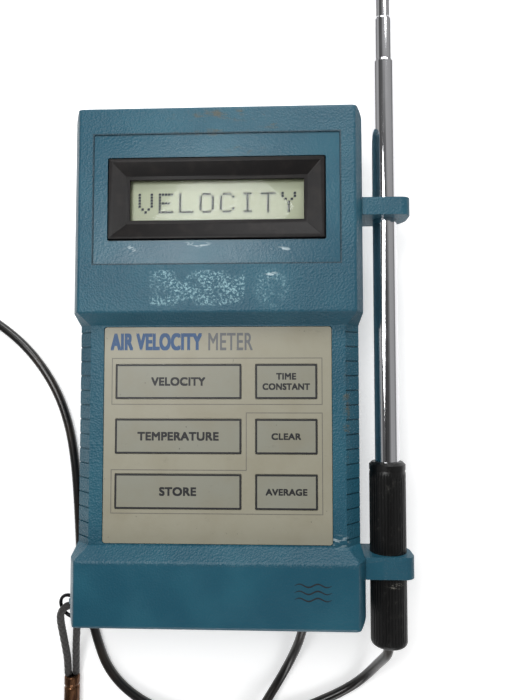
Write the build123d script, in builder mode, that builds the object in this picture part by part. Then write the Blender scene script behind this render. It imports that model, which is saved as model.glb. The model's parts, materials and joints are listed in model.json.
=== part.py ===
"""Hand-held air velocity meter: a case with a display and a keypad, and a telescoping probe in two clips.

The meter lies on its back. X runs across the case to the probe side, Y runs towards the display end,
Z points away from the back, and the origin is the middle of the back. Sizes are in millimetres.
"""

import math
import os

from build123d import *

# Case
CASE_WIDTH = 107.0
CASE_LENGTH = 188.0
CASE_DEPTH = 38.0
SPLIT_Z = 14.0  # height of the seam between the two shells
WALL = 2.5
CORNER_RADIUS = 4.2
BEVEL_WIDTH = 3.0  # of the long edges of the head and the foot
BEVEL_HEIGHT = 5.6
BACK_CHAMFER = 2.0
HEAD_START = 18.4  # where the raised head begins, along Y
FOOT_END = -70.5  # where the raised foot ends
SLOPE_RUN = 4.4  # length of the ramps from the head and the foot down to the grip
GRIP_DROP = 5.0
GRIP_INSET = 1.2
GRIP_BEVEL_WIDTH = 5.4
GRIP_BEVEL_HEIGHT = 5.0
GRIP_WALL = 3.6
FRONT_EDGE = 1.5  # rounding of the edges of the raised front faces
BACK_INNER_CHAMFER = 0.5
ROOT = 0.5  # of a boss or a post into the wall it stands on
OVERCUT = 1.0  # of a cut past the face it opens

# Grip notches
NOTCH_COUNT = 15
NOTCH_PITCH = 5.35
NOTCH_WIDTH = 0.55
NOTCH_DEPTH = 0.45
NOTCH_OVERRUN = 2.0

# Display
PANEL_SIDE = 8.55  # of head left beside the shallow smooth panel round the display
PANEL_LENGTH = 47.7
PANEL_SINK = 0.4
PANEL_Y = 59.9
PANEL_CORNER = 0.8
BEZEL_WIDTH = 78.7
BEZEL_LENGTH = 29.7
BEZEL_GAP = 0.5
BEZEL_HOLE_CORNER = 0.6
BEZEL_PROUD = 0.3
BEZEL_RIM = 1.5
BEZEL_SLOPE = 4.4
BEZEL_SINK = 2.3  # from the rim down to the inner lip
BEZEL_LIP = 1.5
BEZEL_FLANGE = 2.0
BEZEL_FLANGE_THICK = 1.6
WINDOW_THICK = 1.2
WINDOW_EDGE = 1.4  # of the window hidden under the lip
WINDOW_GAP = 0.1
LCD_THICK = 2.2
LCD_AIR = 0.5  # between the window and the display glass
LCD_FRAME_WALL = 1.2
LCD_FRAME_DEEP = 4.2
LCD_EDGE = 2.0  # of the display glass past the window
LCD_SPACER_INSET = (4.35, 2.85)  # from the edges of the display glass
LCD_SPACER_RADIUS = 2.2

# Keypad
KEYPAD_SIDE = 11.5  # of case left beside the keypad
KEYPAD_MARGIN = 0.5  # of grip left above and below the keypad
KEYPAD_CORNER = 1.0
SHEET_GAP = 0.15  # round the sheets in their recess
SHEET_THICK = 0.3
SPACER_THICK = 0.7
OVERLAY_THICK = 0.6
OVERLAY_SINK = 0.4
KEY_PROUD = 0.15
KEY_GAP = 0.18
KEY_CORNER = 0.4
KEY_HOLE_CORNER = 0.5
KEY_LENGTH = 12.6
WIDE_KEY = 46.3
WIDE_KEY_X = -14.3
SMALL_KEY = 22.4
SMALL_KEY_X = 25.3
KEY_TOP_Y = -6.7
KEY_PITCH = 20.0
DOME_RADIUS = 4.5
DOME_HEIGHT = 0.2
TAIL_WIDTH = 12.0
TAIL_THICK = 0.3
TAIL_X = -14.0
TAIL_INSET = 1.5
TAIL_SLOT = 1.0
TAIL_LIFT = 1.5  # of the tail's end above the board

# Circuit board
BOARD_SIDE = 8.5  # of case left beside the board
BOARD_LENGTH = 142.0
BOARD_Y = 7.0
BOARD_LIFT = 0.8  # above the battery tray
BOARD_THICK = 1.6
BOARD_POST_INSET = 3.0
BOARD_POST_YS = (37.5, -48.0)
POST_RADIUS = 3.0
BOARD_SCREW = 1.1
BOARD_SCREW_GAP = 0.2
BOARD_SCREW_LENGTH = 5.0
BOARD_SCREW_HOLE = 6.0  # depth in the post
BOARD_SCREW_HEAD = 2.0
BOARD_SCREW_HEAD_THICK = 1.4
BOARD_CORNER = 1.5
HEAD_OVERLAP = 0.2  # of a screw's shank into its head
CHIPS = (  # width, length, height, x, y
    (14.0, 14.0, 2.0, 14.0, 26.0),
    (10.0, 7.6, 1.8, -24.0, 30.0),
    (8.0, 5.2, 1.6, 30.0, -12.0),
    (18.0, 7.6, 3.4, -18.0, -16.0),
    (6.0, 6.0, 2.4, 12.0, -36.0),
    (5.0, 3.0, 1.2, -34.0, 8.0),
)
CONNECTORS = (  # width, length, height, x, y
    (8.0, 5.0, 6.0, 34.0, -57.0),
    (6.0, 5.0, 6.0, -30.0, -58.0),
)
TAIL_CONNECTOR_LENGTH = 3.4
TAIL_CONNECTOR_HEIGHT = 4.2

# Case screws
SCREW_SIDE = 7.0  # from the case's side
SCREW_END = 9.5  # from the case's end
BOSS_RADIUS = 3.6
SCREW_RADIUS = 1.5
SCREW_HOLE = 1.75
SCREW_HEAD = 2.8
SCREW_HEAD_GAP = 0.3
SCREW_HEAD_THICK = 2.2
SCREW_CROSS = 3.4
SCREW_CROSS_THICK = 0.8
SCREW_CROSS_DEPTH = 1.0
SCREW_SINK = 5.0
SCREW_LENGTH = 15.0  # past the seam
SCREW_HOLE_DEPTH = 17.0

# Battery bay
BAY_X = -4.0
CELL_RADIUS = 7.1
CELL_LENGTH = 49.5
CELL_TIP = 1.0
CELL_TIP_RADIUS = 2.6
CELL_PLAY = 0.2
CELL_DIVIDER = 0.6
CELL_COUNT = 4
SPRING_ROOM = 3.0
SPRING_RADII = (4.6, 3.2)  # at the wall and at the cell
SPRING_WALL = 1.0
CONTACT_THICK = 0.4
CONTACT_SIZE = 10.0
BAY_END = 0.3  # from the tray to the end wall
TRAY_WALL = 1.2
TRAY_FLANGE = 3.0
TRAY_FLANGE_LENGTH = 50.0
TRAY_GAP = 0.2
TRAY_LIFT = 0.3  # above the door's room
STAKE_RADIUS = 1.2
STAKE_GAP = 0.05
STAKE_HEIGHT = 1.8
STAKE_Y = 20.0  # from the middle of the bay
BAY_FLOOR_EDGE = 4.0  # of floor past each side of the door
BAY_FLOOR_TOP = 3.0  # of floor past the door's upper end
DOOR_SIDE = 1.9  # of door past each side of the tray
DOOR_TOP = 7.9  # of door past the tray's upper end
DOOR_THICK = 2.0
DOOR_GAP = 0.3
DOOR_TRAVEL = 10.0
DOOR_TAB = 8.0
DOOR_TAB_REACH = 1.6
DOOR_TAB_Z = 1.2
DOOR_SLOT_Z = 0.9
DOOR_TAB_STEPS = (11.0, 39.0)  # down from the door's upper end
DOOR_RAIL = 1.6  # of floor above the door
RIDGE_COUNT = 7
RIDGE_WIDTH = 24.0
RIDGE_THICK = 0.8
RIDGE_PITCH = 1.8
RIDGE_DEPTH = 0.5
RIDGE_FROM = 8.0  # the door's upper end

# Probe
PROBE_GAP = 3.05  # from the case to the handle
PROBE_Z = 23.0
HANDLE_RADIUS = 6.75
HANDLE_BOTTOM = -104.0
HANDLE_TOP = -36.8
HANDLE_WALL = 1.1
HANDLE_TAPER = 0.1
CAP_LENGTH = 5.5
CAP_ROUND = 1.6
CAP_PLUG = 6.0  # inside the sleeve
HANDLE_GLAND = 0.7  # thickness round the cable
HANDLE_GLAND_FLANGE = 1.2
HANDLE_GLAND_FLANGE_THICK = 1.5
HANDLE_GLAND_PROUD = 0.8
HANDLE_GLAND_DRAFT = 0.1
COLLAR_LENGTH = 3.0
COLLAR_CHAMFER = 1.0
SPIGOT_LENGTH = 20.0
TUBE_RADII = (4.55, 3.85, 3.35, 2.85, 2.35)
TUBE_WALLS = (0.3, 0.25, 0.25, 0.25, 0.25)
TUBE_BOTTOM = -62.0
TUBE_TOP = 117.2
TUBE_STEP = 17.0  # of each section left standing out when the probe is closed
TUBE_LIFT = 4.5  # of each section's lower end above the one round it
LIP_LENGTH = 1.5
MOUTH_TURN = ((0.9, 0.0), (0.35, 0.12))  # each back from the mouth and in from the outside
MOUTH_LAND = 0.18
RUNNING_GAP = 0.05
BUSH_LENGTH = 10.0
TIP_RADIUS = 3.5
TIP_LENGTH = 40.0
TIP_WALL = 0.6
TIP_TAPER = 5.0
TIP_CROWN = 2.6
TIP_SHOULDER = 0.5
TIP_SPIGOT = 8.0
TIP_PLUG = 4.0
TIP_NOSE = 5.0
WINDOW_WIDTH = 4.4
WINDOW_LENGTH = 14.0
WINDOW_FROM = 18.0  # from the tip's lower end
WINDOW_CORNER = 1.6
BEADS = ((-1.3, 3.0), (0.0, 7.0), (1.3, 3.0))  # across, and up from the window's lower end
BEAD_RADIUS = 0.85
BEAD_LIFT = 0.8
PRONG_RADIUS = 0.15
PRONG_GAP = 0.25
PRONG_ROOT = 3.0

# Probe clips
CLIP_WALL = 1.65  # round the handle
CLIP_ROUND = 3.5
CLIP_SCREW = 1.0
CLIP_SCREW_Z = 5.6
CLIP_HOLE_GAP = 0.02
CLIP_SCREW_HEAD = 1.8
CLIP_SCREW_HEAD_THICK = 1.2
CLIP_SCREW_LENGTH = 3.3  # in the clip
CLIP_SCREW_HOLE = 3.5
CLIP_BOSS = 3.0  # length of the screw's hole inside the wall
UPPER_CLIP = (55.0, 61.6)
LOWER_CLIP = (-77.9, -70.0)

# Cable and lanyard
CABLE = 3.6
GLAND_X = 34.0
GLAND_NOSE = 7.0
GLAND_NECK = 3.2
GLAND_FLANGE = 4.6
GLAND_FLANGE_THICK = 1.8
GLAND_COLLAR = 4.0
GLAND_COLLAR_THICK = 1.0
GLAND_NOSE_SHIFT = (-1.7, -1.4)  # across and down
GLAND_NOSE_FACING = (-0.23, -0.93, -0.27)
COIL_CENTRE = (-131.0, 6.0)
COIL_INNER = 14.0  # radius of the innermost turn's middle
COIL_TURNS = 3  # in each of two layers
COIL_JOIN = 26.0  # from the coil's middle to the cable that leaves it
CORD = 3.0
BEND_SHARE = 0.45  # of a run given up to the bend at its end
LUG_END = 2.6  # from the case's end
LUG_REACH = 2.2  # from the case's side to the hole
LUG_Z = 19.0
LUG_RADIUS = 3.2
LUG_HOLE = 2.0
LUG_THICK = 1.2
LUG_ROOT = 3.2
RING_RADIUS = 4.9
RING_WIRE = 0.65
RING_SHIFT = (-3.2, -3.2, -2.0)  # from the lug's hole
RING_TILT = 24.0
FERRULE_RADIUS = 3.1
FERRULE_TOP = (-63.4, -128.0)
FERRULE_LENGTH = 18.0
FERRULE_ROUND = 0.6
WRIST_CENTRE = (-82.5, -163.0)
WRIST_OUTER = 18.6
WRIST_TURNS = 3
CORD_GAP = 0.2  # between the turns of a coiled cord

half_width = CASE_WIDTH / 2
half_length = CASE_LENGTH / 2
panel_width = CASE_WIDTH - 2 * PANEL_SIDE
keypad_width = CASE_WIDTH - 2 * KEYPAD_SIDE
board_width = CASE_WIDTH - 2 * BOARD_SIDE
board_post_x = board_width / 2 - BOARD_POST_INSET
screw_x = half_width - SCREW_SIDE
screw_y = half_length - SCREW_END
probe_x = half_width + PROBE_GAP + HANDLE_RADIUS
clip_reach = HANDLE_RADIUS + CLIP_WALL
lug_place = (-half_width - LUG_REACH, -half_length + LUG_END, LUG_Z)
ring_centre = tuple(a + b for a, b in zip(lug_place, RING_SHIFT))
grip_top = HEAD_START - SLOPE_RUN
grip_bottom = FOOT_END + SLOPE_RUN
grip_z = CASE_DEPTH - GRIP_DROP
panel_z = CASE_DEPTH - PANEL_SINK
head_ceiling = CASE_DEPTH - WALL
grip_ceiling = grip_z - GRIP_WALL
overlay_top = grip_z - OVERLAY_SINK
overlay_base = overlay_top - OVERLAY_THICK
sheet_top = overlay_base - SPACER_THICK
sheet_base = sheet_top - SHEET_THICK
keypad_length = grip_top - grip_bottom - 2 * KEYPAD_MARGIN
keypad_y = (grip_top + grip_bottom) / 2
tail_y = keypad_y + keypad_length / 2 - TAIL_INSET
bezel_top = panel_z + BEZEL_PROUD + PANEL_SINK
lip_top = bezel_top - BEZEL_SINK
bezel_base = head_ceiling - BEZEL_FLANGE_THICK
view_width = BEZEL_WIDTH - 2 * (BEZEL_RIM + BEZEL_SLOPE + BEZEL_LIP)
view_length = BEZEL_LENGTH - 2 * (BEZEL_RIM + BEZEL_SLOPE + BEZEL_LIP)
window_width = view_width + 2 * WINDOW_EDGE
window_length = view_length + 2 * WINDOW_EDGE
window_base = bezel_base
lcd_top = window_base - LCD_AIR
lcd_frame_base = lcd_top - LCD_FRAME_DEEP
cell_room = 2 * (CELL_RADIUS + CELL_PLAY)
cell_pitch = cell_room + CELL_DIVIDER
bay_width = CELL_COUNT * cell_pitch + 2 * TRAY_WALL
bay_low_y = -half_length + WALL + BAY_END
inner_low_y = bay_low_y + TRAY_WALL
inner_high_y = inner_low_y + SPRING_ROOM + CELL_LENGTH + CELL_TIP + CONTACT_THICK
bay_length = inner_high_y + TRAY_WALL - bay_low_y
bay_y = bay_low_y + bay_length / 2
door_width = bay_width + 2 * DOOR_SIDE
door_top_y = bay_low_y + bay_length + DOOR_TOP
door_tab_ys = [door_top_y - step for step in DOOR_TAB_STEPS]
door_low_y = -half_length
door_length = door_top_y - door_low_y
door_y = door_low_y + door_length / 2
door_clear_z = DOOR_THICK + DOOR_GAP
floor_z = door_clear_z + DOOR_RAIL
tray_low_z = door_clear_z + TRAY_LIFT
tray_high_z = tray_low_z + cell_room + TRAY_WALL
cell_z = tray_low_z + CELL_PLAY + CELL_RADIUS
cell_xs = [BAY_X + (i - (CELL_COUNT - 1) / 2) * cell_pitch for i in range(CELL_COUNT)]
stake_x = bay_width / 2 + TRAY_FLANGE / 2 + TRAY_GAP
stake_places = [(BAY_X + a * stake_x, bay_y + b * STAKE_Y) for a in (-1, 1) for b in (-1, 1)]
board_z = tray_high_z + BOARD_LIFT
board_top = board_z + BOARD_THICK
cable_radius = CABLE / 2
hole_low_y = -half_length - OVERCUT
hole_high_y = -half_length + WALL + OVERCUT
cord_radius = CORD / 2
sleeve_radius = HANDLE_RADIUS - HANDLE_TAPER


os.makedirs("parts", exist_ok=True)


def write(part, name):
    """Labels a finished piece and writes it under its own name."""
    part.label = name
    export_step(part, f"parts/{name}.step")


def cross_section(y):
    """The plane across the case at one place along its length: local X is X and local Y is Z."""
    return Plane.XZ.offset(-y)


def front_outline(half, edge_z, top_half, top_z, low_z):
    """Half-hexagon of the front shell: upright sides, bevels and a flat top."""
    right = [(half, low_z), (half, edge_z), (top_half, top_z)]
    return right + [(-x, z) for x, z in reversed(right)]


def front_block(skin, grip_skin, low_z, mode=Mode.ADD):
    """Lofts the front shell's body, drawn in by a skin all round."""
    head = (
        half_width - skin,
        CASE_DEPTH - BEVEL_HEIGHT - skin / 2,
        half_width - BEVEL_WIDTH - skin,
        CASE_DEPTH - skin,
        low_z,
    )
    grip_half = half_width - GRIP_INSET
    grip = (
        grip_half - skin,
        grip_z - GRIP_BEVEL_HEIGHT - skin / 2,
        grip_half - GRIP_BEVEL_WIDTH - skin,
        grip_z - grip_skin,
        low_z,
    )
    end = half_length - skin
    stations = [
        (end, head),
        (HEAD_START + skin / 2, head),
        (grip_top + skin / 2, grip),
        (grip_bottom - skin / 2, grip),
        (FOOT_END - skin / 2, head),
        (-end, head),
    ]
    rings = []
    for y, shape in stations:
        with BuildSketch(cross_section(y)) as ring:
            Polygon(*front_outline(*shape), align=None)
        rings.append(ring.sketch)
    loft(rings, ruled=True, mode=mode)


def back_outline(half, low_z, chamfer):
    """Outline of the back shell across the case, with its lower edges chamfered."""
    right = [(half - chamfer, low_z), (half, low_z + chamfer), (half, SPLIT_Z)]
    return right + [(-x, z) for x, z in reversed(right)]


def back_block(skin, chamfer, mode=Mode.ADD):
    """Lofts the back shell's body, drawn in by a skin all round."""
    grip_half = half_width - GRIP_INSET - skin
    end = half_length - skin
    stations = [
        (end, half_width - skin),
        (HEAD_START + skin / 2, half_width - skin),
        (grip_top + skin / 2, grip_half),
        (grip_bottom - skin / 2, grip_half),
        (FOOT_END - skin / 2, half_width - skin),
        (-end, half_width - skin),
    ]
    rings = []
    for y, half in stations:
        with BuildSketch(cross_section(y)) as ring:
            Polygon(*back_outline(half, skin, chamfer), align=None)
        rings.append(ring.sketch)
    loft(rings, ruled=True, mode=mode)


def round_corners():
    """Trims the block in hand to the case's plan, with rounded corners."""
    with BuildSketch() as plan:
        RectangleRounded(CASE_WIDTH, CASE_LENGTH, CORNER_RADIUS)
    extrude(plan.sketch, amount=CASE_DEPTH, mode=Mode.INTERSECT)


def slab(width, length, x, y, low_z, high_z, mode=Mode.ADD, corner=0.0):
    """Adds or cuts a flat block between two heights."""
    with BuildSketch(Plane.XY.offset(low_z)) as plan:
        with Locations((x, y)):
            if corner:
                RectangleRounded(width, length, corner)
            else:
                Rectangle(width, length)
    extrude(plan.sketch, amount=high_z - low_z, mode=mode)


def posts(places, radius, low_z, high_z, mode=Mode.ADD):
    """Adds or cuts upright cylinders between two heights."""
    with BuildSketch(Plane.XY.offset(low_z)) as plan:
        with Locations(*places):
            Circle(radius)
    extrude(plan.sketch, amount=high_z - low_z, mode=mode)


def along_y(radius, low_y, high_y, x, z, mode=Mode.ADD):
    """Adds or cuts a cylinder that lies along Y."""
    with BuildSketch(cross_section(low_y)) as disc:
        with Locations((x, z)):
            Circle(radius)
    extrude(disc.sketch, amount=low_y - high_y, mode=mode)


screw_places = [(x, y) for x in (-screw_x, screw_x) for y in (-screw_y, screw_y)]
board_places = [(x, y) for x in (-board_post_x, board_post_x) for y in BOARD_POST_YS]
keys = [
    (name, x, KEY_TOP_Y - row * KEY_PITCH, width)
    for row, pair in enumerate(
        [("velocity", "time_constant"), ("temperature", "clear"), ("store", "average")]
    )
    for name, x, width in zip(pair, (WIDE_KEY_X, SMALL_KEY_X), (WIDE_KEY, SMALL_KEY))
]
clips = {"upper": UPPER_CLIP, "lower": LOWER_CLIP}
clip_holes = {
    "upper": TUBE_RADII[0] + CLIP_HOLE_GAP,
    "lower": HANDLE_RADIUS + CLIP_HOLE_GAP,
}
clip_low_z = PROBE_Z - clip_reach
clip_high_z = PROBE_Z + clip_reach


def length_of(v):
    """Length of a vector given as a tuple."""
    return math.sqrt(sum(c * c for c in v))


def tube(points, radius):
    """Adds a round cord of straight runs joined by arcs; prints its bend radii and its length."""
    bends = []
    for before, corner, after in zip(points, points[1:], points[2:]):
        come = [b - a for a, b in zip(before, corner)]
        go = [b - a for a, b in zip(corner, after)]
        dot = sum(a * b for a, b in zip(come, go)) / length_of(come) / length_of(go)
        turn = math.acos(max(-1.0, min(1.0, dot)))
        bends.append(BEND_SHARE * min(length_of(come), length_of(go)) / math.tan(turn / 2))
    with BuildLine() as run:
        FilletPolyline(*points, radius=bends)
    path = run.wires()[0]
    with BuildSketch(Plane(origin=path @ 0, z_dir=path % 0)) as end:
        Circle(radius)
    sweep(end.sketch, path=path)
    tight = sorted(round(b, 1) for b in bends)[:4]
    print(f"cord: {path.length:.1f} long, tightest bends {tight}")
    return path.length


def turned(outline, x=probe_x, z=PROBE_Z, mode=Mode.ADD):
    """Adds or cuts a turned shape from (y, radius) points round an axis along Y."""
    with BuildSketch(Plane(origin=(x, 0, z), x_dir=(0, 1, 0), z_dir=(1, 0, 0))) as half:
        Polygon(*outline, align=None)
    revolve(half.sketch, axis=Axis((x, 0, z), (0, 1, 0)), mode=mode)


def clip_screw_places(name):
    """The two screw centres of a clip, as (y, z) on the case's side."""
    middle = sum(clips[name]) / 2
    return [(middle, PROBE_Z - CLIP_SCREW_Z), (middle, PROBE_Z + CLIP_SCREW_Z)]


def side_pins(places, radius, low_x, high_x, mode=Mode.ADD):
    """Adds or cuts cylinders that lie along X at (y, z)."""
    with BuildSketch(Plane.YZ.offset(low_x)) as discs:
        with Locations(*places):
            Circle(radius)
    extrude(discs.sketch, amount=high_x - low_x, mode=mode)


# Front shell
with BuildPart() as front_shell:
    front_block(0, 0, SPLIT_Z)
    round_corners()
    fillet(front_shell.edges().group_by(Axis.Z)[-1], FRONT_EDGE)
    front_block(WALL, GRIP_WALL, SPLIT_Z, mode=Mode.SUBTRACT)
    posts(screw_places, BOSS_RADIUS, SPLIT_Z, head_ceiling + ROOT)
    posts(screw_places, SCREW_RADIUS, SPLIT_Z, SPLIT_Z + SCREW_HOLE_DEPTH, Mode.SUBTRACT)
    posts(board_places[::2], POST_RADIUS, board_top, head_ceiling + ROOT)
    posts(board_places[1::2], POST_RADIUS, board_top, grip_ceiling + ROOT)
    posts(board_places, BOARD_SCREW, board_top, board_top + BOARD_SCREW_HOLE, Mode.SUBTRACT)
    slab(
        panel_width,
        PANEL_LENGTH,
        0,
        PANEL_Y,
        panel_z,
        CASE_DEPTH + OVERCUT,
        Mode.SUBTRACT,
        PANEL_CORNER,
    )
    slab(
        BEZEL_WIDTH + 2 * BEZEL_GAP,
        BEZEL_LENGTH + 2 * BEZEL_GAP,
        0,
        PANEL_Y,
        head_ceiling - OVERCUT,
        CASE_DEPTH,
        Mode.SUBTRACT,
        BEZEL_HOLE_CORNER,
    )
    slab(
        keypad_width,
        keypad_length,
        0,
        keypad_y,
        sheet_base,
        CASE_DEPTH,
        Mode.SUBTRACT,
        KEYPAD_CORNER,
    )
    slot_z = grip_ceiling - OVERCUT
    slab(TAIL_WIDTH + TAIL_SLOT, TAIL_SLOT, TAIL_X, tail_y, slot_z, sheet_top, Mode.SUBTRACT)
    grip_half = half_width - GRIP_INSET
    bevel_angle = math.atan2(GRIP_BEVEL_HEIGHT, GRIP_BEVEL_WIDTH)
    out = (math.sin(bevel_angle), math.cos(bevel_angle))
    down = (math.cos(bevel_angle), -math.sin(bevel_angle))
    bevel_top = (grip_half - GRIP_BEVEL_WIDTH, grip_z)
    bevel_length = math.hypot(GRIP_BEVEL_WIDTH, GRIP_BEVEL_HEIGHT)
    for row in range(NOTCH_COUNT):
        notch_y = keypad_y + (row - (NOTCH_COUNT - 1) / 2) * NOTCH_PITCH
        with BuildSketch(cross_section(notch_y - NOTCH_WIDTH / 2)):
            for side in (1, -1):
                corners = [
                    (
                        side * (bevel_top[0] + out[0] * lift + down[0] * slide),
                        bevel_top[1] + out[1] * lift + down[1] * slide,
                    )
                    for lift, slide in (
                        (-NOTCH_DEPTH, 0),
                        (-NOTCH_DEPTH, bevel_length + NOTCH_OVERRUN),
                        (NOTCH_OVERRUN, bevel_length + NOTCH_OVERRUN),
                        (NOTCH_OVERRUN, 0),
                    )
                ]
                Polygon(*corners, align=None)
        extrude(amount=-NOTCH_WIDTH, mode=Mode.SUBTRACT)
    along_y(GLAND_NECK, hole_low_y, hole_high_y, GLAND_X, SPLIT_Z, Mode.SUBTRACT)
    with BuildSketch(cross_section(lug_place[1] - LUG_THICK / 2)):
        with Locations((lug_place[0], LUG_Z)):
            Circle(LUG_RADIUS)
        with Locations((lug_place[0] + LUG_ROOT / 2, LUG_Z)):
            Rectangle(LUG_ROOT, 2 * LUG_RADIUS)
        with Locations((lug_place[0], LUG_Z)):
            Circle(LUG_HOLE, mode=Mode.SUBTRACT)
    extrude(amount=-LUG_THICK)
    for name in clips:
        low_x = half_width - WALL - CLIP_BOSS
        side_pins(clip_screw_places(name), CLIP_SCREW, low_x, half_width + OVERCUT, Mode.SUBTRACT)
write(front_shell.part, "front_shell")

# Back shell
with BuildPart() as back_shell:
    back_block(0, BACK_CHAMFER)
    round_corners()
    back_block(WALL, BACK_INNER_CHAMFER, mode=Mode.SUBTRACT)
    posts(screw_places, BOSS_RADIUS, WALL - ROOT, SPLIT_Z)
    floor_low_y = -half_length + WALL - ROOT
    floor_length = door_top_y + BAY_FLOOR_TOP - floor_low_y
    floor_y = floor_low_y + floor_length / 2
    slab(door_width + 2 * BAY_FLOOR_EDGE, floor_length, BAY_X, floor_y, WALL - ROOT, floor_z)
    posts(stake_places, STAKE_RADIUS, floor_z - ROOT, floor_z + STAKE_HEIGHT)
    posts(screw_places, SCREW_HOLE, 0, SPLIT_Z, Mode.SUBTRACT)
    posts(screw_places, SCREW_HEAD + SCREW_HEAD_GAP, 0, SCREW_SINK, Mode.SUBTRACT)
    cut_length = door_length + DOOR_GAP + 2 * OVERCUT
    cut_y = door_top_y + DOOR_GAP - cut_length / 2
    slab(door_width + 2 * DOOR_GAP, cut_length, BAY_X, cut_y, -OVERCUT, door_clear_z, Mode.SUBTRACT)
    hole_width = bay_width + 2 * TRAY_GAP
    hole_length = bay_length + 2 * TRAY_GAP
    slab(hole_width, hole_length, BAY_X, bay_y, 0, floor_z + OVERCUT, Mode.SUBTRACT)
    slot_width = door_width + 2 * (DOOR_TAB_REACH + DOOR_GAP)
    for tab_y in door_tab_ys:
        low_y = tab_y - DOOR_TAB / 2 - DOOR_TRAVEL - DOOR_GAP
        slot_length = DOOR_TAB + DOOR_TRAVEL + 2 * DOOR_GAP
        slot_y = low_y + slot_length / 2
        slab(slot_width, slot_length, BAY_X, slot_y, DOOR_SLOT_Z, door_clear_z, Mode.SUBTRACT)
        exit_length = DOOR_TAB + 2 * DOOR_GAP
        exit_y = low_y + exit_length / 2
        slab(slot_width, exit_length, BAY_X, exit_y, -OVERCUT, door_clear_z, Mode.SUBTRACT)
    along_y(GLAND_NECK, hole_low_y, hole_high_y, GLAND_X, SPLIT_Z, Mode.SUBTRACT)
write(back_shell.part, "back_shell")

# Battery door, with a ridged thumb pad and four tabs
with BuildPart() as battery_door:
    slab(door_width, door_length, BAY_X, door_y, 0, DOOR_THICK)
    for tab_y in door_tab_ys:
        slab(door_width + 2 * DOOR_TAB_REACH, DOOR_TAB, BAY_X, tab_y, DOOR_TAB_Z, DOOR_THICK)
    for ridge in range(RIDGE_COUNT):
        ridge_y = door_top_y - RIDGE_FROM - RIDGE_PITCH * ridge
        slab(RIDGE_WIDTH, RIDGE_THICK, BAY_X, ridge_y, -OVERCUT, RIDGE_DEPTH, Mode.SUBTRACT)
write(battery_door.part, "battery_door")

# Battery tray, open towards the door, held by four stakes through its flanges
with BuildPart() as battery_tray:
    slab(bay_width, bay_length, BAY_X, bay_y, tray_low_z, tray_high_z)
    flange_width = bay_width + 2 * (TRAY_FLANGE + TRAY_GAP)
    slab(flange_width, TRAY_FLANGE_LENGTH, BAY_X, bay_y, floor_z, floor_z + TRAY_WALL)
    for x in cell_xs:
        slab(cell_room, inner_high_y - inner_low_y, x, bay_y, 0, tray_high_z - TRAY_WALL, Mode.SUBTRACT)
    posts(stake_places, STAKE_RADIUS + STAKE_GAP, floor_z, floor_z + STAKE_HEIGHT, Mode.SUBTRACT)
write(battery_tray.part, "battery_tray")

for i, x in enumerate(cell_xs):
    tip_up = i % 2 == 1
    low_y = inner_low_y + (SPRING_ROOM if tip_up else CONTACT_THICK + CELL_TIP)
    with BuildPart() as cell:
        along_y(CELL_RADIUS, low_y, low_y + CELL_LENGTH, x, cell_z)
        tip_y = low_y + CELL_LENGTH if tip_up else low_y - CELL_TIP
        along_y(CELL_TIP_RADIUS, tip_y, tip_y + CELL_TIP, x, cell_z)
    write(cell.part, f"cell_{i + 1}")

# Contacts: a plate at each positive end and a conical spring at each negative end
with BuildPart() as cell_contacts:
    for i, x in enumerate(cell_xs):
        tip_up = i % 2 == 1
        plate_y = inner_high_y - CONTACT_THICK if tip_up else inner_low_y
        middle_y = plate_y + CONTACT_THICK / 2
        low_z = cell_z - CONTACT_SIZE / 2
        slab(CONTACT_SIZE, CONTACT_THICK, x, middle_y, low_z, low_z + CONTACT_SIZE)
write(cell_contacts.part, "cell_contacts")

with BuildPart() as cell_springs:
    for i, x in enumerate(cell_xs):
        tip_up = i % 2 == 1
        wall_y = inner_low_y if tip_up else inner_high_y
        cell_y = wall_y + (SPRING_ROOM if tip_up else -SPRING_ROOM)
        outer = list(zip((wall_y, cell_y), SPRING_RADII))
        inner = [(y, radius - SPRING_WALL) for y, radius in reversed(outer)]
        turned(outer + inner, x, cell_z)
write(cell_springs.part, "cell_springs")

# Display
with BuildPart() as lcd_bezel:
    slab(BEZEL_WIDTH, BEZEL_LENGTH, 0, PANEL_Y, bezel_base, bezel_top)
    flange_width = BEZEL_WIDTH + 2 * BEZEL_FLANGE
    flange_length = BEZEL_LENGTH + 2 * BEZEL_FLANGE
    slab(flange_width, flange_length, 0, PANEL_Y, bezel_base, head_ceiling)
    slope = []
    for inset, z in ((BEZEL_RIM, bezel_top), (BEZEL_RIM + BEZEL_SLOPE, lip_top)):
        with BuildSketch(Plane.XY.offset(z)) as ring:
            with Locations((0, PANEL_Y)):
                Rectangle(BEZEL_WIDTH - 2 * inset, BEZEL_LENGTH - 2 * inset)
        slope.append(ring.sketch)
    loft(slope, ruled=True, mode=Mode.SUBTRACT)
    slab(view_width, view_length, 0, PANEL_Y, bezel_base, lip_top + OVERCUT, Mode.SUBTRACT)
    pocket_top = window_base + WINDOW_THICK
    pocket_width = window_width + 2 * WINDOW_GAP
    pocket_length = window_length + 2 * WINDOW_GAP
    slab(pocket_width, pocket_length, 0, PANEL_Y, bezel_base, pocket_top, Mode.SUBTRACT)
write(lcd_bezel.part, "lcd_bezel")

with BuildPart() as lcd_window:
    slab(window_width, window_length, 0, PANEL_Y, window_base, window_base + WINDOW_THICK)
write(lcd_window.part, "lcd_window")

lcd_width = window_width + 2 * LCD_EDGE
lcd_length = window_length + 2 * LCD_EDGE
with BuildPart() as lcd_glass:
    slab(lcd_width, lcd_length, 0, PANEL_Y, lcd_top - LCD_THICK, lcd_top)
write(lcd_glass.part, "lcd_glass")

with BuildPart() as lcd_backlight:
    slab(lcd_width, lcd_length, 0, PANEL_Y, lcd_frame_base, lcd_top - LCD_THICK)
write(lcd_backlight.part, "lcd_backlight")

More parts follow.
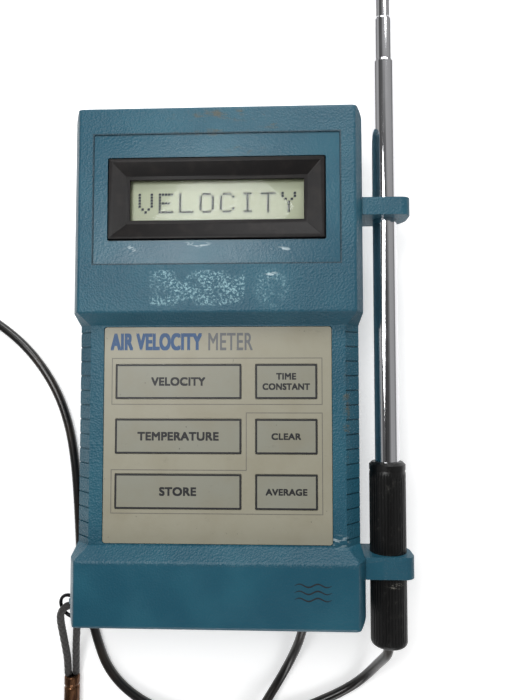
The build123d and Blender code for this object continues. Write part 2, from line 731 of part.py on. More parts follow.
with BuildPart() as lcd_frame:
    outer_width = lcd_width + 2 * LCD_FRAME_WALL
    outer_length = lcd_length + 2 * LCD_FRAME_WALL
    slab(outer_width, outer_length, 0, PANEL_Y, lcd_frame_base, window_base)
    slab(lcd_width, lcd_length, 0, PANEL_Y, lcd_frame_base, lcd_top, Mode.SUBTRACT)
    slab(window_width, window_length, 0, PANEL_Y, lcd_top, window_base, Mode.SUBTRACT)
write(lcd_frame.part, "lcd_frame")

with BuildPart() as lcd_spacers:
    side = lcd_width / 2 - LCD_SPACER_INSET[0]
    end = lcd_length / 2 - LCD_SPACER_INSET[1]
    corners = [(x, PANEL_Y + y) for x in (-side, side) for y in (-end, end)]
    posts(corners, LCD_SPACER_RADIUS, board_top, lcd_frame_base)
write(lcd_spacers.part, "lcd_spacers")

# Keypad
sheet_width = keypad_width - 2 * SHEET_GAP
sheet_length = keypad_length - 2 * SHEET_GAP
with BuildPart() as switch_sheet:
    slab(sheet_width, sheet_length, 0, keypad_y, sheet_base, sheet_top, Mode.ADD, KEYPAD_CORNER)
write(switch_sheet.part, "switch_sheet")

with BuildPart() as key_domes:
    posts([(x, y) for _, x, y, _ in keys], DOME_RADIUS, sheet_top, sheet_top + DOME_HEIGHT)
write(key_domes.part, "key_domes")

for name, low_z, high_z in (
    ("spacer_sheet", sheet_top, overlay_base),
    ("keypad_overlay", overlay_base, overlay_top),
):
    with BuildPart() as sheet:
        slab(sheet_width, sheet_length, 0, keypad_y, low_z, high_z, Mode.ADD, KEYPAD_CORNER)
        for _, x, y, width in keys:
            hole_width = width + 2 * KEY_GAP
            hole_length = KEY_LENGTH + 2 * KEY_GAP
            slab(hole_width, hole_length, x, y, low_z, high_z, Mode.SUBTRACT, KEY_HOLE_CORNER)
    write(sheet.part, name)

for name, x, y, width in keys:
    with BuildPart() as key:
        slab(width, KEY_LENGTH, x, y, overlay_base, overlay_top + KEY_PROUD, Mode.ADD, KEY_CORNER)
    write(key.part, f"key_{name}")

tail_low_z = board_top + TAIL_LIFT
with BuildPart() as keypad_tail:
    slab(TAIL_WIDTH, TAIL_THICK, TAIL_X, tail_y, tail_low_z, sheet_base)
write(keypad_tail.part, "keypad_tail")

# Circuit board
with BuildPart() as main_board:
    slab(board_width, BOARD_LENGTH, 0, BOARD_Y, board_z, board_top, Mode.ADD, BOARD_CORNER)
    posts(board_places, BOARD_SCREW + BOARD_SCREW_GAP, board_z, board_top, Mode.SUBTRACT)
write(main_board.part, "main_board")

with BuildPart() as board_chips:
    for width, length, height, x, y in CHIPS:
        slab(width, length, x, y, board_top, board_top + height)
write(board_chips.part, "board_chips")

with BuildPart() as board_connectors:
    connector_top = board_top + TAIL_CONNECTOR_HEIGHT
    connector_width = TAIL_WIDTH + 2 * TAIL_SLOT
    slab(connector_width, TAIL_CONNECTOR_LENGTH, TAIL_X, tail_y, board_top, connector_top)
    slab(TAIL_WIDTH, TAIL_THICK, TAIL_X, tail_y, tail_low_z, connector_top, Mode.SUBTRACT)
    for width, length, height, x, y in CONNECTORS:
        slab(width, length, x, y, board_top, board_top + height)
write(board_connectors.part, "board_connectors")

with BuildPart() as board_screws:
    posts(board_places, BOARD_SCREW_HEAD, board_z - BOARD_SCREW_HEAD_THICK, board_z)
    posts(board_places, BOARD_SCREW, board_z - HEAD_OVERLAP, board_top + BOARD_SCREW_LENGTH)
write(board_screws.part, "board_screws")

with BuildPart() as case_screws:
    head_z = SCREW_SINK - SCREW_HEAD_THICK
    posts(screw_places, SCREW_HEAD, head_z, SCREW_SINK)
    posts(screw_places, SCREW_RADIUS, SCREW_SINK - HEAD_OVERLAP, SPLIT_Z + SCREW_LENGTH)
    for x, y in screw_places:
        slab(SCREW_CROSS, SCREW_CROSS_THICK, x, y, 0, head_z + SCREW_CROSS_DEPTH, Mode.SUBTRACT)
        slab(SCREW_CROSS_THICK, SCREW_CROSS, x, y, 0, head_z + SCREW_CROSS_DEPTH, Mode.SUBTRACT)
write(case_screws.part, "case_screws")

# Probe clips
for name, (low_y, high_y) in clips.items():
    with BuildPart() as clip:
        right_x = probe_x + clip_reach
        slant = clip_reach * math.sqrt(0.5)
        nook = CLIP_ROUND * (1 - math.sqrt(0.5))
        with BuildSketch(cross_section(low_y)):
            with BuildLine():
                root = [(half_width, clip_high_z), (half_width, clip_low_z)]
                foot = Polyline(*root, (probe_x, clip_low_z))
                round_low = (probe_x + slant, PROBE_Z - slant)
                ThreePointArc(foot @ 1, round_low, (right_x, PROBE_Z))
                side = Line((right_x, PROBE_Z), (right_x, clip_high_z - CLIP_ROUND))
                round_high = (right_x - nook, clip_high_z - nook)
                top = (right_x - CLIP_ROUND, clip_high_z)
                ThreePointArc(side @ 1, round_high, top)
                Line(top, foot @ 0)
            make_face()
            with Locations((probe_x, PROBE_Z)):
                Circle(clip_holes[name], mode=Mode.SUBTRACT)
        extrude(amount=low_y - high_y)
        screw_end = half_width + CLIP_SCREW_HOLE
        side_pins(clip_screw_places(name), CLIP_SCREW, half_width - OVERCUT, screw_end, Mode.SUBTRACT)
    write(clip.part, f"{name}_clip")

with BuildPart() as clip_screws:
    for name in clips:
        inner_x = half_width - WALL
        places = clip_screw_places(name)
        side_pins(places, CLIP_SCREW_HEAD, inner_x - CLIP_SCREW_HEAD_THICK, inner_x)
        side_pins(places, CLIP_SCREW, inner_x - HEAD_OVERLAP, half_width + CLIP_SCREW_LENGTH)
write(clip_screws.part, "clip_screws")

# Probe handle
sleeve_low = HANDLE_BOTTOM + CAP_LENGTH
sleeve_high = HANDLE_TOP - COLLAR_LENGTH
sleeve_bore = HANDLE_RADIUS - HANDLE_WALL
with BuildPart() as handle_sleeve:
    outline = [
        (sleeve_low, sleeve_bore),
        (sleeve_low, sleeve_radius),
        (sleeve_high, HANDLE_RADIUS),
        (sleeve_high, sleeve_bore),
    ]
    turned(outline)
write(handle_sleeve.part, "handle_sleeve")

with BuildPart() as handle_collar:
    outline = [
        (sleeve_high - SPIGOT_LENGTH, TUBE_RADII[0]),
        (sleeve_high - SPIGOT_LENGTH, sleeve_bore),
        (sleeve_high, sleeve_bore),
        (sleeve_high, HANDLE_RADIUS),
        (HANDLE_TOP - COLLAR_CHAMFER, HANDLE_RADIUS),
        (HANDLE_TOP, HANDLE_RADIUS - COLLAR_CHAMFER),
        (HANDLE_TOP, TUBE_RADII[0]),
    ]
    turned(outline)
write(handle_collar.part, "handle_collar")

bore = cable_radius + HANDLE_GLAND
plug_end = sleeve_low + CAP_PLUG
cap_arc = [
    (
        HANDLE_BOTTOM + CAP_ROUND * (1 - math.sin(math.radians(a))),
        sleeve_radius - CAP_ROUND * (1 - math.cos(math.radians(a))),
    )
    for a in range(0, 91, 15)
]
with BuildPart() as handle_cap:
    inner = [(plug_end, bore), (plug_end, sleeve_bore), (sleeve_low, sleeve_bore)]
    turned(inner + [(sleeve_low, sleeve_radius)] + cap_arc + [(HANDLE_BOTTOM, bore)])
write(handle_cap.part, "handle_cap")

gland_face = HANDLE_BOTTOM - HANDLE_GLAND_PROUD
flange_end = plug_end + HANDLE_GLAND_FLANGE_THICK
with BuildPart() as handle_gland:
    outline = [
        (flange_end, cable_radius),
        (flange_end, bore + HANDLE_GLAND_FLANGE),
        (plug_end, bore + HANDLE_GLAND_FLANGE),
        (plug_end, bore),
        (gland_face, bore - HANDLE_GLAND_DRAFT),
        (gland_face, cable_radius),
    ]
    turned(outline)
write(handle_gland.part, "handle_gland")

# Telescoping tubes: each has a mouth drawn in round the next one, and a bush on its lower end
for i, (radius, wall) in enumerate(zip(TUBE_RADII, TUBE_WALLS)):
    low_y = TUBE_BOTTOM + i * TUBE_LIFT
    high_y = TUBE_TOP + i * TUBE_STEP
    inside = radius - wall
    with BuildPart() as section:
        if i + 1 < len(TUBE_RADII):
            mouth = TUBE_RADII[i + 1] + RUNNING_GAP
            top = [(high_y - back, radius - inward) for back, inward in MOUTH_TURN]
            top += [
                (high_y, mouth + MOUTH_LAND),
                (high_y, mouth),
                (high_y - LIP_LENGTH, mouth),
                (high_y - LIP_LENGTH, inside),
            ]
        else:
            top = [(high_y, radius), (high_y, inside)]
        turned([(low_y, inside), (low_y, radius)] + top)
    write(section.part, f"probe_tube_{i + 1}")
    if i:
        guide = TUBE_RADII[i - 1] - TUBE_WALLS[i - 1] - RUNNING_GAP
        with BuildPart() as guide_bush:
            ends = (low_y, low_y + BUSH_LENGTH)
            turned([(ends[0], radius), (ends[0], guide), (ends[1], guide), (ends[1], radius)])
        write(guide_bush.part, f"guide_bush_{i + 1}")

# Sensor tip
tip_low = TUBE_TOP + (len(TUBE_RADII) - 1) * TUBE_STEP
tip_high = tip_low + TIP_LENGTH
tip_bore = TIP_RADIUS - TIP_WALL
spigot = TUBE_RADII[-1] - TUBE_WALLS[-1]
plug_y = tip_low + TIP_PLUG
window_low = tip_low + WINDOW_FROM
dome = [
    (
        tip_high - TIP_TAPER * (1 - math.sin(math.radians(a))),
        TIP_RADIUS - TIP_CROWN * (1 - math.cos(math.radians(a))),
    )
    for a in range(0, 91, 15)
]
with BuildPart() as sensor_housing:
    outline = [
        (tip_low - TIP_SPIGOT, 0),
        (tip_low - TIP_SPIGOT, spigot),
        (tip_low, spigot),
        (tip_low, TIP_RADIUS - TIP_SHOULDER),
        (tip_low + TIP_SHOULDER, TIP_RADIUS),
    ]
    turned(outline + dome + [(tip_high, 0)])
    along_y(tip_bore, plug_y, tip_high - TIP_NOSE, probe_x, PROBE_Z, Mode.SUBTRACT)
    slab(
        WINDOW_WIDTH,
        WINDOW_LENGTH,
        probe_x,
        window_low + WINDOW_LENGTH / 2,
        PROBE_Z - TIP_RADIUS - OVERCUT,
        PROBE_Z + TIP_RADIUS + OVERCUT,
        Mode.SUBTRACT,
        WINDOW_CORNER,
    )
write(sensor_housing.part, "sensor_housing")

prong_low = window_low - PRONG_ROOT
with BuildPart() as sensor_core:
    along_y(tip_bore, plug_y, prong_low, probe_x, PROBE_Z)
    for across, rise in BEADS:
        for side in (-PRONG_GAP, PRONG_GAP):
            x = probe_x + across + side
            along_y(PRONG_RADIUS, prong_low, window_low + rise, x, PROBE_Z)
write(sensor_core.part, "sensor_core")

with BuildPart() as sensor_beads:
    for across, rise in BEADS:
        with Locations((probe_x + across, window_low + rise + BEAD_LIFT, PROBE_Z)):
            Sphere(BEAD_RADIUS)
write(sensor_beads.part, "sensor_beads")

# Cable gland at the foot of the case, pinched between the two shells
gland_out = -half_length
gland_in = -half_length + WALL
collar_out = gland_out - GLAND_COLLAR_THICK
nose_x = GLAND_X + GLAND_NOSE_SHIFT[0]
nose_z = SPLIT_Z + GLAND_NOSE_SHIFT[1]
with BuildPart() as case_gland:
    along_y(GLAND_FLANGE, gland_in, gland_in + GLAND_FLANGE_THICK, GLAND_X, SPLIT_Z)
    along_y(GLAND_NECK, gland_out, gland_in, GLAND_X, SPLIT_Z)
    along_y(GLAND_COLLAR, collar_out, gland_out, GLAND_X, SPLIT_Z)
    rings = []
    for centre, facing, radius in (
        ((GLAND_X, collar_out, SPLIT_Z), (0, -1, 0), GLAND_NECK),
        ((nose_x, gland_out - GLAND_NOSE, nose_z), GLAND_NOSE_FACING, bore),
    ):
        with BuildSketch(Plane(origin=centre, z_dir=facing)) as ring:
            Circle(radius)
        rings.append(ring.sketch)
    loft(rings)
write(case_gland.part, "case_gland")

# Cable: from the handle past the case's foot and up its left side into a coil, and back to the gland
cable_start = [
    (probe_x, gland_face - 0.3, PROBE_Z),
    (63.2, -108.4, 21.6),
    (62.2, -112.4, 17.2),
    (60.9, -116.9, 12.0),
    (59.3, -121.4, 7.6),
    (57.0, -125.6, 4.4),
    (53.9, -129.2, 2.6),
    (50.1, -132.0, 1.9),
    (45.7, -134.4, 1.8),
    (40.4, -136.8, 1.8),
    (33.4, -139.8, 1.8),
    (24.4, -142.9, 1.8),
    (13.5, -145.7, 1.8),
    (2.0, -147.2, 1.8),
    (-9.0, -146.9, 1.8),
    (-19.5, -144.9, 1.8),
    (-28.5, -141.7, 1.8),
    (-36.6, -137.6, 1.8),
    (-44.2, -131.6, 1.8),
    (-49.5, -124.6, 1.8),
    (-52.6, -117.1, 1.8),
    (-55.2, -108.6, 1.8),
    (-58.2, -98.2, 1.8),
    (-60.4, -87.0, 1.8),
    (-61.3, -75.7, 1.8),
    (-62.1, -62.0, 1.8),
    (-63.2, -48.0, 1.8),
    (-64.7, -35.6, 1.8),
    (-67.2, -24.2, 1.8),
    (-71.4, -12.8, 1.8),
    (-78.0, -1.6, 1.8),
    (-86.9, 8.9, 1.8),
    (-97.5, 17.4, 1.8),
    (-107.8, 23.4, 1.8),
]
coil_outer = COIL_INNER + COIL_TURNS * (CABLE + CORD_GAP)
cable_end = [
    (COIL_CENTRE[0] - COIL_JOIN, -8.0, 1.8),
    (-156.0, -19.0, 1.8),
    (-153.6, -38.0, 1.8),
    (-150.4, -64.0, 1.8),
    (-146.2, -90.0, 1.8),
    (-140.4, -115.0, 1.8),
    (-132.0, -140.0, 1.8),
    (-119.6, -162.0, 1.8),
    (-100.8, -180.4, 1.8),
    (-76.4, -191.6, 1.8),
    (-50.4, -193.6, 1.8),
    (-27.0, -187.2, 1.8),
    (-9.4, -172.6, 1.8),
    (2.6, -158.4, 3.2),
    (8.4, -149.6, 6.2),
    (13.0, -142.2, 6.2),
    (17.4, -135.8, 4.4),
    (22.4, -128.6, 2.9),
    (26.2, -121.6, 3.6),
    (29.0, -114.6, 6.6),
    (31.0, -107.4, 10.6),
    (32.0, -102.4, 12.3),
]
with BuildPart() as cable_tube_a:
    length_a = tube(cable_start, cable_radius)
write(cable_tube_a.part, "cable_tube_a")

with BuildPart() as cable_tube_b:
    length_b = tube(cable_end, cable_radius)
write(cable_tube_b.part, "cable_tube_b")

with BuildPart() as cable_coil:
    posts([COIL_CENTRE], coil_outer + cable_radius, 0, 2 * CABLE)
    posts([COIL_CENTRE], COIL_INNER - cable_radius, 0, 2 * CABLE, Mode.SUBTRACT)
write(cable_coil.part, "cable_coil")
coil_length = 2 * COIL_TURNS * math.pi * (COIL_INNER + coil_outer)
print(f"cable in all: {length_a + length_b + coil_length:.0f}")

# Lanyard: a split ring in the case's lug, a doubled braid into a ferrule, and the wrist loop coiled
lean = math.radians(RING_TILT)
low_side = math.sin(lean) * math.sqrt(0.5)
with BuildPart() as lanyard_ring:
    with Locations(Plane(origin=ring_centre, z_dir=(-low_side, -low_side, math.cos(lean)))):
        Torus(RING_RADIUS, RING_WIRE)
write(lanyard_ring.part, "lanyard_ring")

ferrule_x, ferrule_y = FERRULE_TOP
lanyard_path = [
    (-64.8, ferrule_y + 0.6, 3.9),
    (-64.4, -121.6, 5.4),
    (-64.1, -114.8, 8.6),
    (-64.0, -107.6, 12.0),
    (-63.8, -101.8, 15.0),
    (-63.2, -97.8, 17.2),
    (-61.6, -95.0, 17.9),
    (-59.8, -94.3, 16.8),
    (-58.6, -95.5, 14.8),
    (-58.2, -98.6, 12.8),
    (-58.5, -102.4, 11.7),
    (-59.2, -107.4, 10.2),
    (-60.2, -113.0, 7.9),
    (-61.2, -120.0, 5.0),
    (-62.0, ferrule_y + 0.6, 2.6),
]
with BuildPart() as lanyard_loop:
    tube(lanyard_path, cord_radius)
write(lanyard_loop.part, "lanyard_loop")

with BuildPart() as lanyard_ferrule:
    along_y(FERRULE_RADIUS, ferrule_y - FERRULE_LENGTH, ferrule_y, ferrule_x, FERRULE_RADIUS)
    ends = lanyard_ferrule.edges().filter_by(GeomType.CIRCLE)
    fillet(ends, FERRULE_ROUND)
write(lanyard_ferrule.part, "lanyard_ferrule")

with BuildPart() as wrist_coil:
    pitch = CORD + CORD_GAP
    posts([WRIST_CENTRE], WRIST_OUTER, 0, pitch)
    posts([WRIST_CENTRE], WRIST_OUTER - WRIST_TURNS * pitch, 0, pitch, Mode.SUBTRACT)
write(wrist_coil.part, "wrist_coil")
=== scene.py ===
"""Hand-held air velocity meter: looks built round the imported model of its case, keypad, probe and cords.

X runs across the case to the probe, Y along it to the display end, Z out of the keypad. Metres.
"""

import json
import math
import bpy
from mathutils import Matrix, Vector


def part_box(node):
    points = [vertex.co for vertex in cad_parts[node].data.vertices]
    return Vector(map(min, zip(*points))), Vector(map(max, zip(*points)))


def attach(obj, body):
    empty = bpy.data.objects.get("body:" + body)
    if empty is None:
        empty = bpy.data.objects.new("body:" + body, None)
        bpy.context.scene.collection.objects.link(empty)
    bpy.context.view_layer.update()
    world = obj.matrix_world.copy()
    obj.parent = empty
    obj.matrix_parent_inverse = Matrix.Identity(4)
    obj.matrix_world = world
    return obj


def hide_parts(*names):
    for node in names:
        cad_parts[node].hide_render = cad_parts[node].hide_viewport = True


bl_info = {
    "name": "Air velocity meter",
    "version": (1, 0, 0),
    "blender": (4, 5, 0),
    "location": "3D View > Sidebar > Meter",
    "description": "Builds the case, display, keypad, telescoping probe, cable and lanyard of a meter",
    "category": "Object",
}

import bmesh
import bpy
import numpy as np

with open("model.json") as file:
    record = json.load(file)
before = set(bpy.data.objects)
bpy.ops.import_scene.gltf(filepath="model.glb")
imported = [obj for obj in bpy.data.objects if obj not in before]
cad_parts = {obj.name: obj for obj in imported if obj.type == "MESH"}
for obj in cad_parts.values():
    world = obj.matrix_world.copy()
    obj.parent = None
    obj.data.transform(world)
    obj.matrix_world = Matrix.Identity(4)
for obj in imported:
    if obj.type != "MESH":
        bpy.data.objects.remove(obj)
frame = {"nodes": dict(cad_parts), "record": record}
NODES = frame["nodes"]
BODY_OF = {node: body for body, nodes in frame["record"]["behaviour"]["bodies"].items() for node in nodes}
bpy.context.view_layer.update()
MM = 0.001
KEY_WORDS = {
    "velocity": ("VELOCITY",),
    "time_constant": ("TIME", "CONSTANT"),
    "temperature": ("TEMPERATURE",),
    "clear": ("CLEAR",),
    "store": ("STORE",),
    "average": ("AVERAGE",),
}
# Five by seven dots for each letter on the display, one string of rows a letter
DOT_LETTERS = {
    "V": "10001 10001 10001 10001 10001 01010 00100",
    "E": "11111 10000 10000 11110 10000 10000 11111",
    "L": "10000 10000 10000 10000 10000 10000 11111",
    "O": "01110 10001 10001 10001 10001 10001 01110",
    "C": "01110 10001 10000 10000 10000 10001 01110",
    "I": "01110 00100 00100 00100 00100 00100 01110",
    "T": "11111 00100 00100 00100 00100 00100 00100",
    "Y": "10001 10001 01010 00100 00100 00100 00100",
}


def tint(red, green, blue):
    """A display colour, 0 to 255 a channel, as linear light with full alpha."""
    share = np.array([red, green, blue]) / 255.0
    linear = np.where(share <= 0.04045, share / 12.92, ((share + 0.055) / 1.055) ** 2.4)
    return (*(float(x) for x in linear), 1.0)


def length(label, text, metres):
    """A length that the user can change."""
    return bpy.props.FloatProperty(
        name=label, description=text, default=metres, min=0, precision=5, unit="LENGTH"
    )


def colour(label, text, value):
    """A colour that the user can change."""
    return bpy.props.FloatVectorProperty(
        name=label, description=text, default=value, size=4, min=0, max=1, subtype="COLOR"
    )


def number(label, text, value, top=1.0):
    """A plain amount that the user can change."""
    return bpy.props.FloatProperty(name=label, description=text, default=value, min=0, max=top)


def power(label, text, watts):
    """A light's power that the user can change."""
    return bpy.props.FloatProperty(name=label, description=text, default=watts, unit="POWER")


# ---------------------------------------------------------------- settings


class MeterCaseSettings(bpy.types.PropertyGroup):
    """Moulded case."""

    shell: colour("Shell", "Colour of the moulded case", tint(18, 72, 90))
    shell_pale: colour("Shell, pale", "Colour of the case where it is rubbed", tint(28, 82, 99))
    grime: colour("Grime", "Colour of the brown stains", tint(72, 72, 60))
    residue: colour("Residue", "Colour of glue left by a label", tint(150, 186, 194))
    grain: length("Grain", "Size of the moulded pebble grain", 0.8 * MM)
    grain_depth: length("Grain depth", "Depth of the pebble grain", 0.15 * MM)
    edge: length("Edge", "Rounding of the case's sharp edges", 0.4 * MM)


class MeterDisplaySettings(bpy.types.PropertyGroup):
    """Display."""

    word: bpy.props.StringProperty(name="Word", description="Letters the display shows", default="VELOCITY")
    surround: colour("Surround", "Colour of the display's frame", tint(17, 15, 15))
    face: colour("Face", "Colour of the display's lit face", tint(172, 176, 152))
    dots: colour("Dots", "Colour of a dark dot", tint(10, 17, 40))
    dot: length("Dot", "Width of one dot", 0.84 * MM)
    dot_pitch: length("Dot pitch", "Distance between dots across", 1.135 * MM)
    row_pitch: length("Row pitch", "Distance between dots up and down", 1.105 * MM)
    letter_pitch: length("Letter pitch", "Distance between letters", 7.6 * MM)


class MeterKeypadSettings(bpy.types.PropertyGroup):
    """Membrane keypad."""

    film: colour("Film", "Colour of the printed film", tint(142, 139, 123))
    key: colour("Key", "Colour of a key's face", tint(129, 129, 117))
    ink: colour("Ink", "Colour of the dark print", tint(18, 19, 22))
    blue_ink: colour("Blue ink", "Colour of the heading", tint(30, 68, 108))
    rule_ink: colour("Rule ink", "Colour of the thin rules", tint(100, 97, 88))
    border: length("Border", "Width of the line round each key", 0.62 * MM)
    rule: length("Rule", "Width of the thin rules", 0.3 * MM)
    wide_cap: length("Capitals", "Height of the wide keys' letters", 3.2 * MM)
    small_cap: length("Small capitals", "Height of the narrow keys' letters", 2.45 * MM)


class MeterProbeSettings(bpy.types.PropertyGroup):
    """Telescoping probe."""

    handle: colour("Handle", "Colour of the handle", tint(9, 9, 9))
    metal: colour("Tubes", "Colour of the plated tubes", tint(214, 214, 217))
    flutes: bpy.props.IntProperty(
        name="Flutes", description="Grooves round the handle", default=36, min=6, max=80
    )
    flute_depth: length("Flute depth", "Depth of the handle's grooves", 0.28 * MM)


class MeterCordSettings(bpy.types.PropertyGroup):
    """Cable and lanyard."""

    cable: length("Cable", "Width of the cable", 3.6 * MM)
    cable_length: length("Cable length", "Whole length of the cable", 1.43)
    lanyard: length("Lanyard", "Width of the braided cord", 3.0 * MM)
    jacket: colour("Jacket", "Colour of the cable", tint(15, 14, 14))
    braid: colour("Braid", "Colour of the braided cord", tint(18, 17, 18))
    bronze: colour("Ferrule", "Colour of the ferrule", tint(118, 84, 60))


class MeterStageSettings(bpy.types.PropertyGroup):
    """Floor, lights and camera."""

    floor: colour("Floor", "Colour of the floor", tint(240, 240, 240))
    key_power: power("Key light", "Power of the near light over the display", 0.85)
    back_power: power("Back light", "Power of the light beyond the head", 2.3)
    front_power: power("Front light", "Power of the light near the foot", 0.45)
    sky: number("Sky", "Strength of the light from all round", 0.47, 5.0)
    lens: bpy.props.FloatProperty(name="Lens", description="Focal length", default=28.4, unit="CAMERA")


# ---------------------------------------------------------------- materials


def add(made, kind, inputs=(), **settings):
    """Adds a shader node; an input is a number, a colour, or another node's output."""
    node = made.node_tree.nodes.new("ShaderNode" + kind)
    for key, value in settings.items():
        setattr(node, key, value)
    for key, value in dict(inputs).items():
        if isinstance(value, bpy.types.NodeSocket):
            made.node_tree.links.new(value, node.inputs[key])
        else:
            node.inputs[key].default_value = value
    return node


def finish(name, inputs):
    """A new material, its Principled shader with the inputs given, and the meter's own coordinates."""
    made = bpy.data.materials.new(name)
    made.use_nodes = True
    shader = made.node_tree.nodes["Principled BSDF"]
    for key, value in inputs.items():
        shader.inputs[key].default_value = value
    return made, shader, add(made, "TexCoord").outputs["Object"]


def join(made, output, socket):
    """Links an output to a socket."""
    made.node_tree.links.new(output, socket)


def paint(made, shader, tone):
    """Gives a shader its colour."""
    join(made, tone, shader.inputs["Base Color"])


def noise(made, at, size, detail=2.0, roughness=0.5, stretch=(1, 1, 1)):
    """Cloudy values from 0 to 1, with clouds about as wide as size, in metres."""
    spread = add(made, "Mapping", {"Vector": at, "Scale": stretch}).outputs["Vector"]
    sizes = {"Vector": spread, "Scale": 1 / size, "Detail": detail, "Roughness": roughness}
    return add(made, "TexNoise", sizes).outputs["Fac"]


def ramp(made, value, low, high):
    """0 below low and 1 above high, smooth between."""
    ends = {"Value": value, "From Min": low, "From Max": high}
    return add(made, "MapRange", ends, interpolation_type="SMOOTHSTEP").outputs["Result"]


def sum_of(made, a, b, operation="ADD"):
    """Two values put together by one sum."""
    return add(made, "Math", {0: a, 1: b}, operation=operation).outputs["Value"]


def times(made, a, b):
    """One value times another."""
    return sum_of(made, a, b, "MULTIPLY")


def larger(made, a, b):
    """The larger of two values."""
    return sum_of(made, a, b, "MAXIMUM")


def blend_colours(made, share, under, over, how="MIX"):
    """Under where share is 0, over where it is 1. A Mix node's colours are its sockets 6, 7 and out 2."""
    return add(made, "Mix", {0: share, 6: under, 7: over}, data_type="RGBA", blend_type=how).outputs[2]


def patch(made, at, centre, half, edge):
    """1 inside an oval round centre, falling to 0 at its half sizes, in millimetres."""
    scale = [1 / (size * MM) for size in half]
    shift = [-where * MM * by for where, by in zip(centre, scale)]
    moved = add(made, "Mapping", {"Vector": at, "Location": shift, "Scale": scale}).outputs["Vector"]
    ball = add(made, "TexGradient", {"Vector": moved}, gradient_type="SPHERICAL").outputs["Fac"]
    return ramp(made, ball, 0.0, edge)


def patches(made, at, ovals, edge):
    """1 inside any of several ovals, each a centre and its half sizes."""
    share = 0.0
    for centre, half in ovals:
        share = larger(made, share, patch(made, at, centre, half, edge))
    return share


def block(made, at, low, high, soft):
    """1 inside a box between two (x, y) corners in millimetres, with soft edges."""
    parts = add(made, "SeparateXYZ", {"Vector": at})
    share = None
    for axis, start, end in (("X", low[0], high[0]), ("Y", low[1], high[1])):
        for a, b in ((start - soft, start + soft), (end + soft, end - soft)):
            step = ramp(made, parts.outputs[axis], a * MM, b * MM)
            share = step if share is None else times(made, share, step)
    return share


def raise_by(made, shader, height, depth):
    """Bump from a height between 0 and 1, depth in metres."""
    bump = add(made, "Bump", {"Height": height, "Distance": depth, "Strength": 1.0})
    join(made, bump.outputs["Normal"], shader.inputs["Normal"])


# Wear on the case in millimetres: ovals by centre and half sizes, boxes by two corners
STAINS = (
    ((3, 90.5, 38), (26, 3.2, 6)),
    ((20, 87, 38), (6, 2.5, 6)),
    ((-2, 84.2, 38), (18, 1.6, 6)),
    ((11, 77.2, 38), (9, 2.6, 6)),
    ((47, -20, 31), (2, 26, 6)),
)
SCUFFS = (
    ((-7, 43, 38), (6.5, 1.5, 4)),
    ((-31, 41, 38), (2.4, 2.4, 4)),
    ((24, 41, 38), (5, 1.2, 4)),
    ((20, 31.5, 38), (4, 2, 4)),
    ((44, -64, 34), (6, 3, 6)),
)
PANEL = ((-44.9, 36.05), (44.9, 83.75))
# Two boxes whose difference is the painted shade line round the panel's edge
GROOVE_SHADE_OUTER = ((-45.4, 35.55), (45.4, 84.25))
GROOVE_SHADE_INNER = ((-44.75, 36.2), (44.75, 83.6))
WIDE_LABEL = ((-24.0, 20.8), (10.5, 33.4))
SMALL_LABEL = ((20, 27, 38), (7.5, 8.5, 6))
FOOT = ((-60, -95), (60, -71.5))


def case_plastic(look):
    """Pebbled teal plastic: smooth inside the panel round the display, with stains and glue specks."""
    made, shader, at = finish("case_teal", {"Specular IOR Level": 0.44})
    rubbed = ramp(made, noise(made, at, 24 * MM, 3), 0.35, 0.7)
    tone = blend_colours(made, rubbed, look.shell, look.shell_pale)
    panel = block(made, at, *PANEL, 0.05)
    # Brown rubbing along the head's top edge and over the display
    smear = ramp(made, noise(made, at, 3.2 * MM, 4, 0.7, (0.5, 1, 1)), 0.5, 0.66)
    stain = times(made, patches(made, at, STAINS, 0.7), smear)
    tone = blend_colours(made, times(made, stain, 0.85), tone, look.grime)
    # Glue left by two labels below the display, and scuffs on the panel
    specks = ramp(made, noise(made, at, 0.75 * MM, 3, 0.7), 0.48, 0.62)
    patchy = ramp(made, noise(made, at, 6 * MM, 2), 0.32, 0.6)
    label = block(made, at, *WIDE_LABEL, 0.5)
    label_two = patch(made, at, *SMALL_LABEL, 0.5)
    glued = larger(made, label, times(made, label_two, 0.7))
    glue = times(made, times(made, specks, patchy), glued)
    tone = blend_colours(made, times(made, glue, 0.78), tone, look.residue)
    scratch = ramp(made, noise(made, at, 1.6 * MM, 3, 0.6, (0.5, 1.4, 1)), 0.5, 0.62)
    scuff = times(made, patches(made, at, SCUFFS, 0.8), scratch)
    tone = blend_colours(made, times(made, scuff, 0.55), tone, tint(196, 212, 216))
    # Painted shade: a dark line round the panel's recessed edge, standing for the shade in the groove there
    groove_shade = sum_of(made, block(made, at, *GROOVE_SHADE_OUTER, 0.08), block(made, at, *GROOVE_SHADE_INNER, 0.08), "SUBTRACT")
    tone = blend_colours(made, times(made, groove_shade, 0.75), tone, tint(10, 40, 52))
    paint(made, shader, tone)
    # Grain: rounded pebbles with a finer ripple, faint on the smooth panel and on the foot
    pebbles = add(made, "TexVoronoi", {"Vector": at, "Scale": 1 / look.grain}, feature="F1")
    cells = pebbles.outputs["Distance"]
    fine = noise(made, at, look.grain * 0.45, 2)
    grain = sum_of(made, cells, times(made, fine, 0.6))
    foot = block(made, at, *FOOT, 0.6)
    plain = larger(made, panel, times(made, foot, 0.75))
    rough = sum_of(made, 1.0, times(made, plain, 0.72), "SUBTRACT")
    raise_by(made, shader, times(made, grain, rough), look.grain_depth)
    gloss = add(made, "MapRange", {"Value": plain, "To Min": 0.41, "To Max": 0.3}).outputs["Result"]
    gloss = sum_of(made, gloss, times(made, glue, 0.2))
    gloss = sum_of(made, gloss, times(made, noise(made, at, 9 * MM, 3), 0.1))
    join(made, gloss, shader.inputs["Roughness"])
    return made


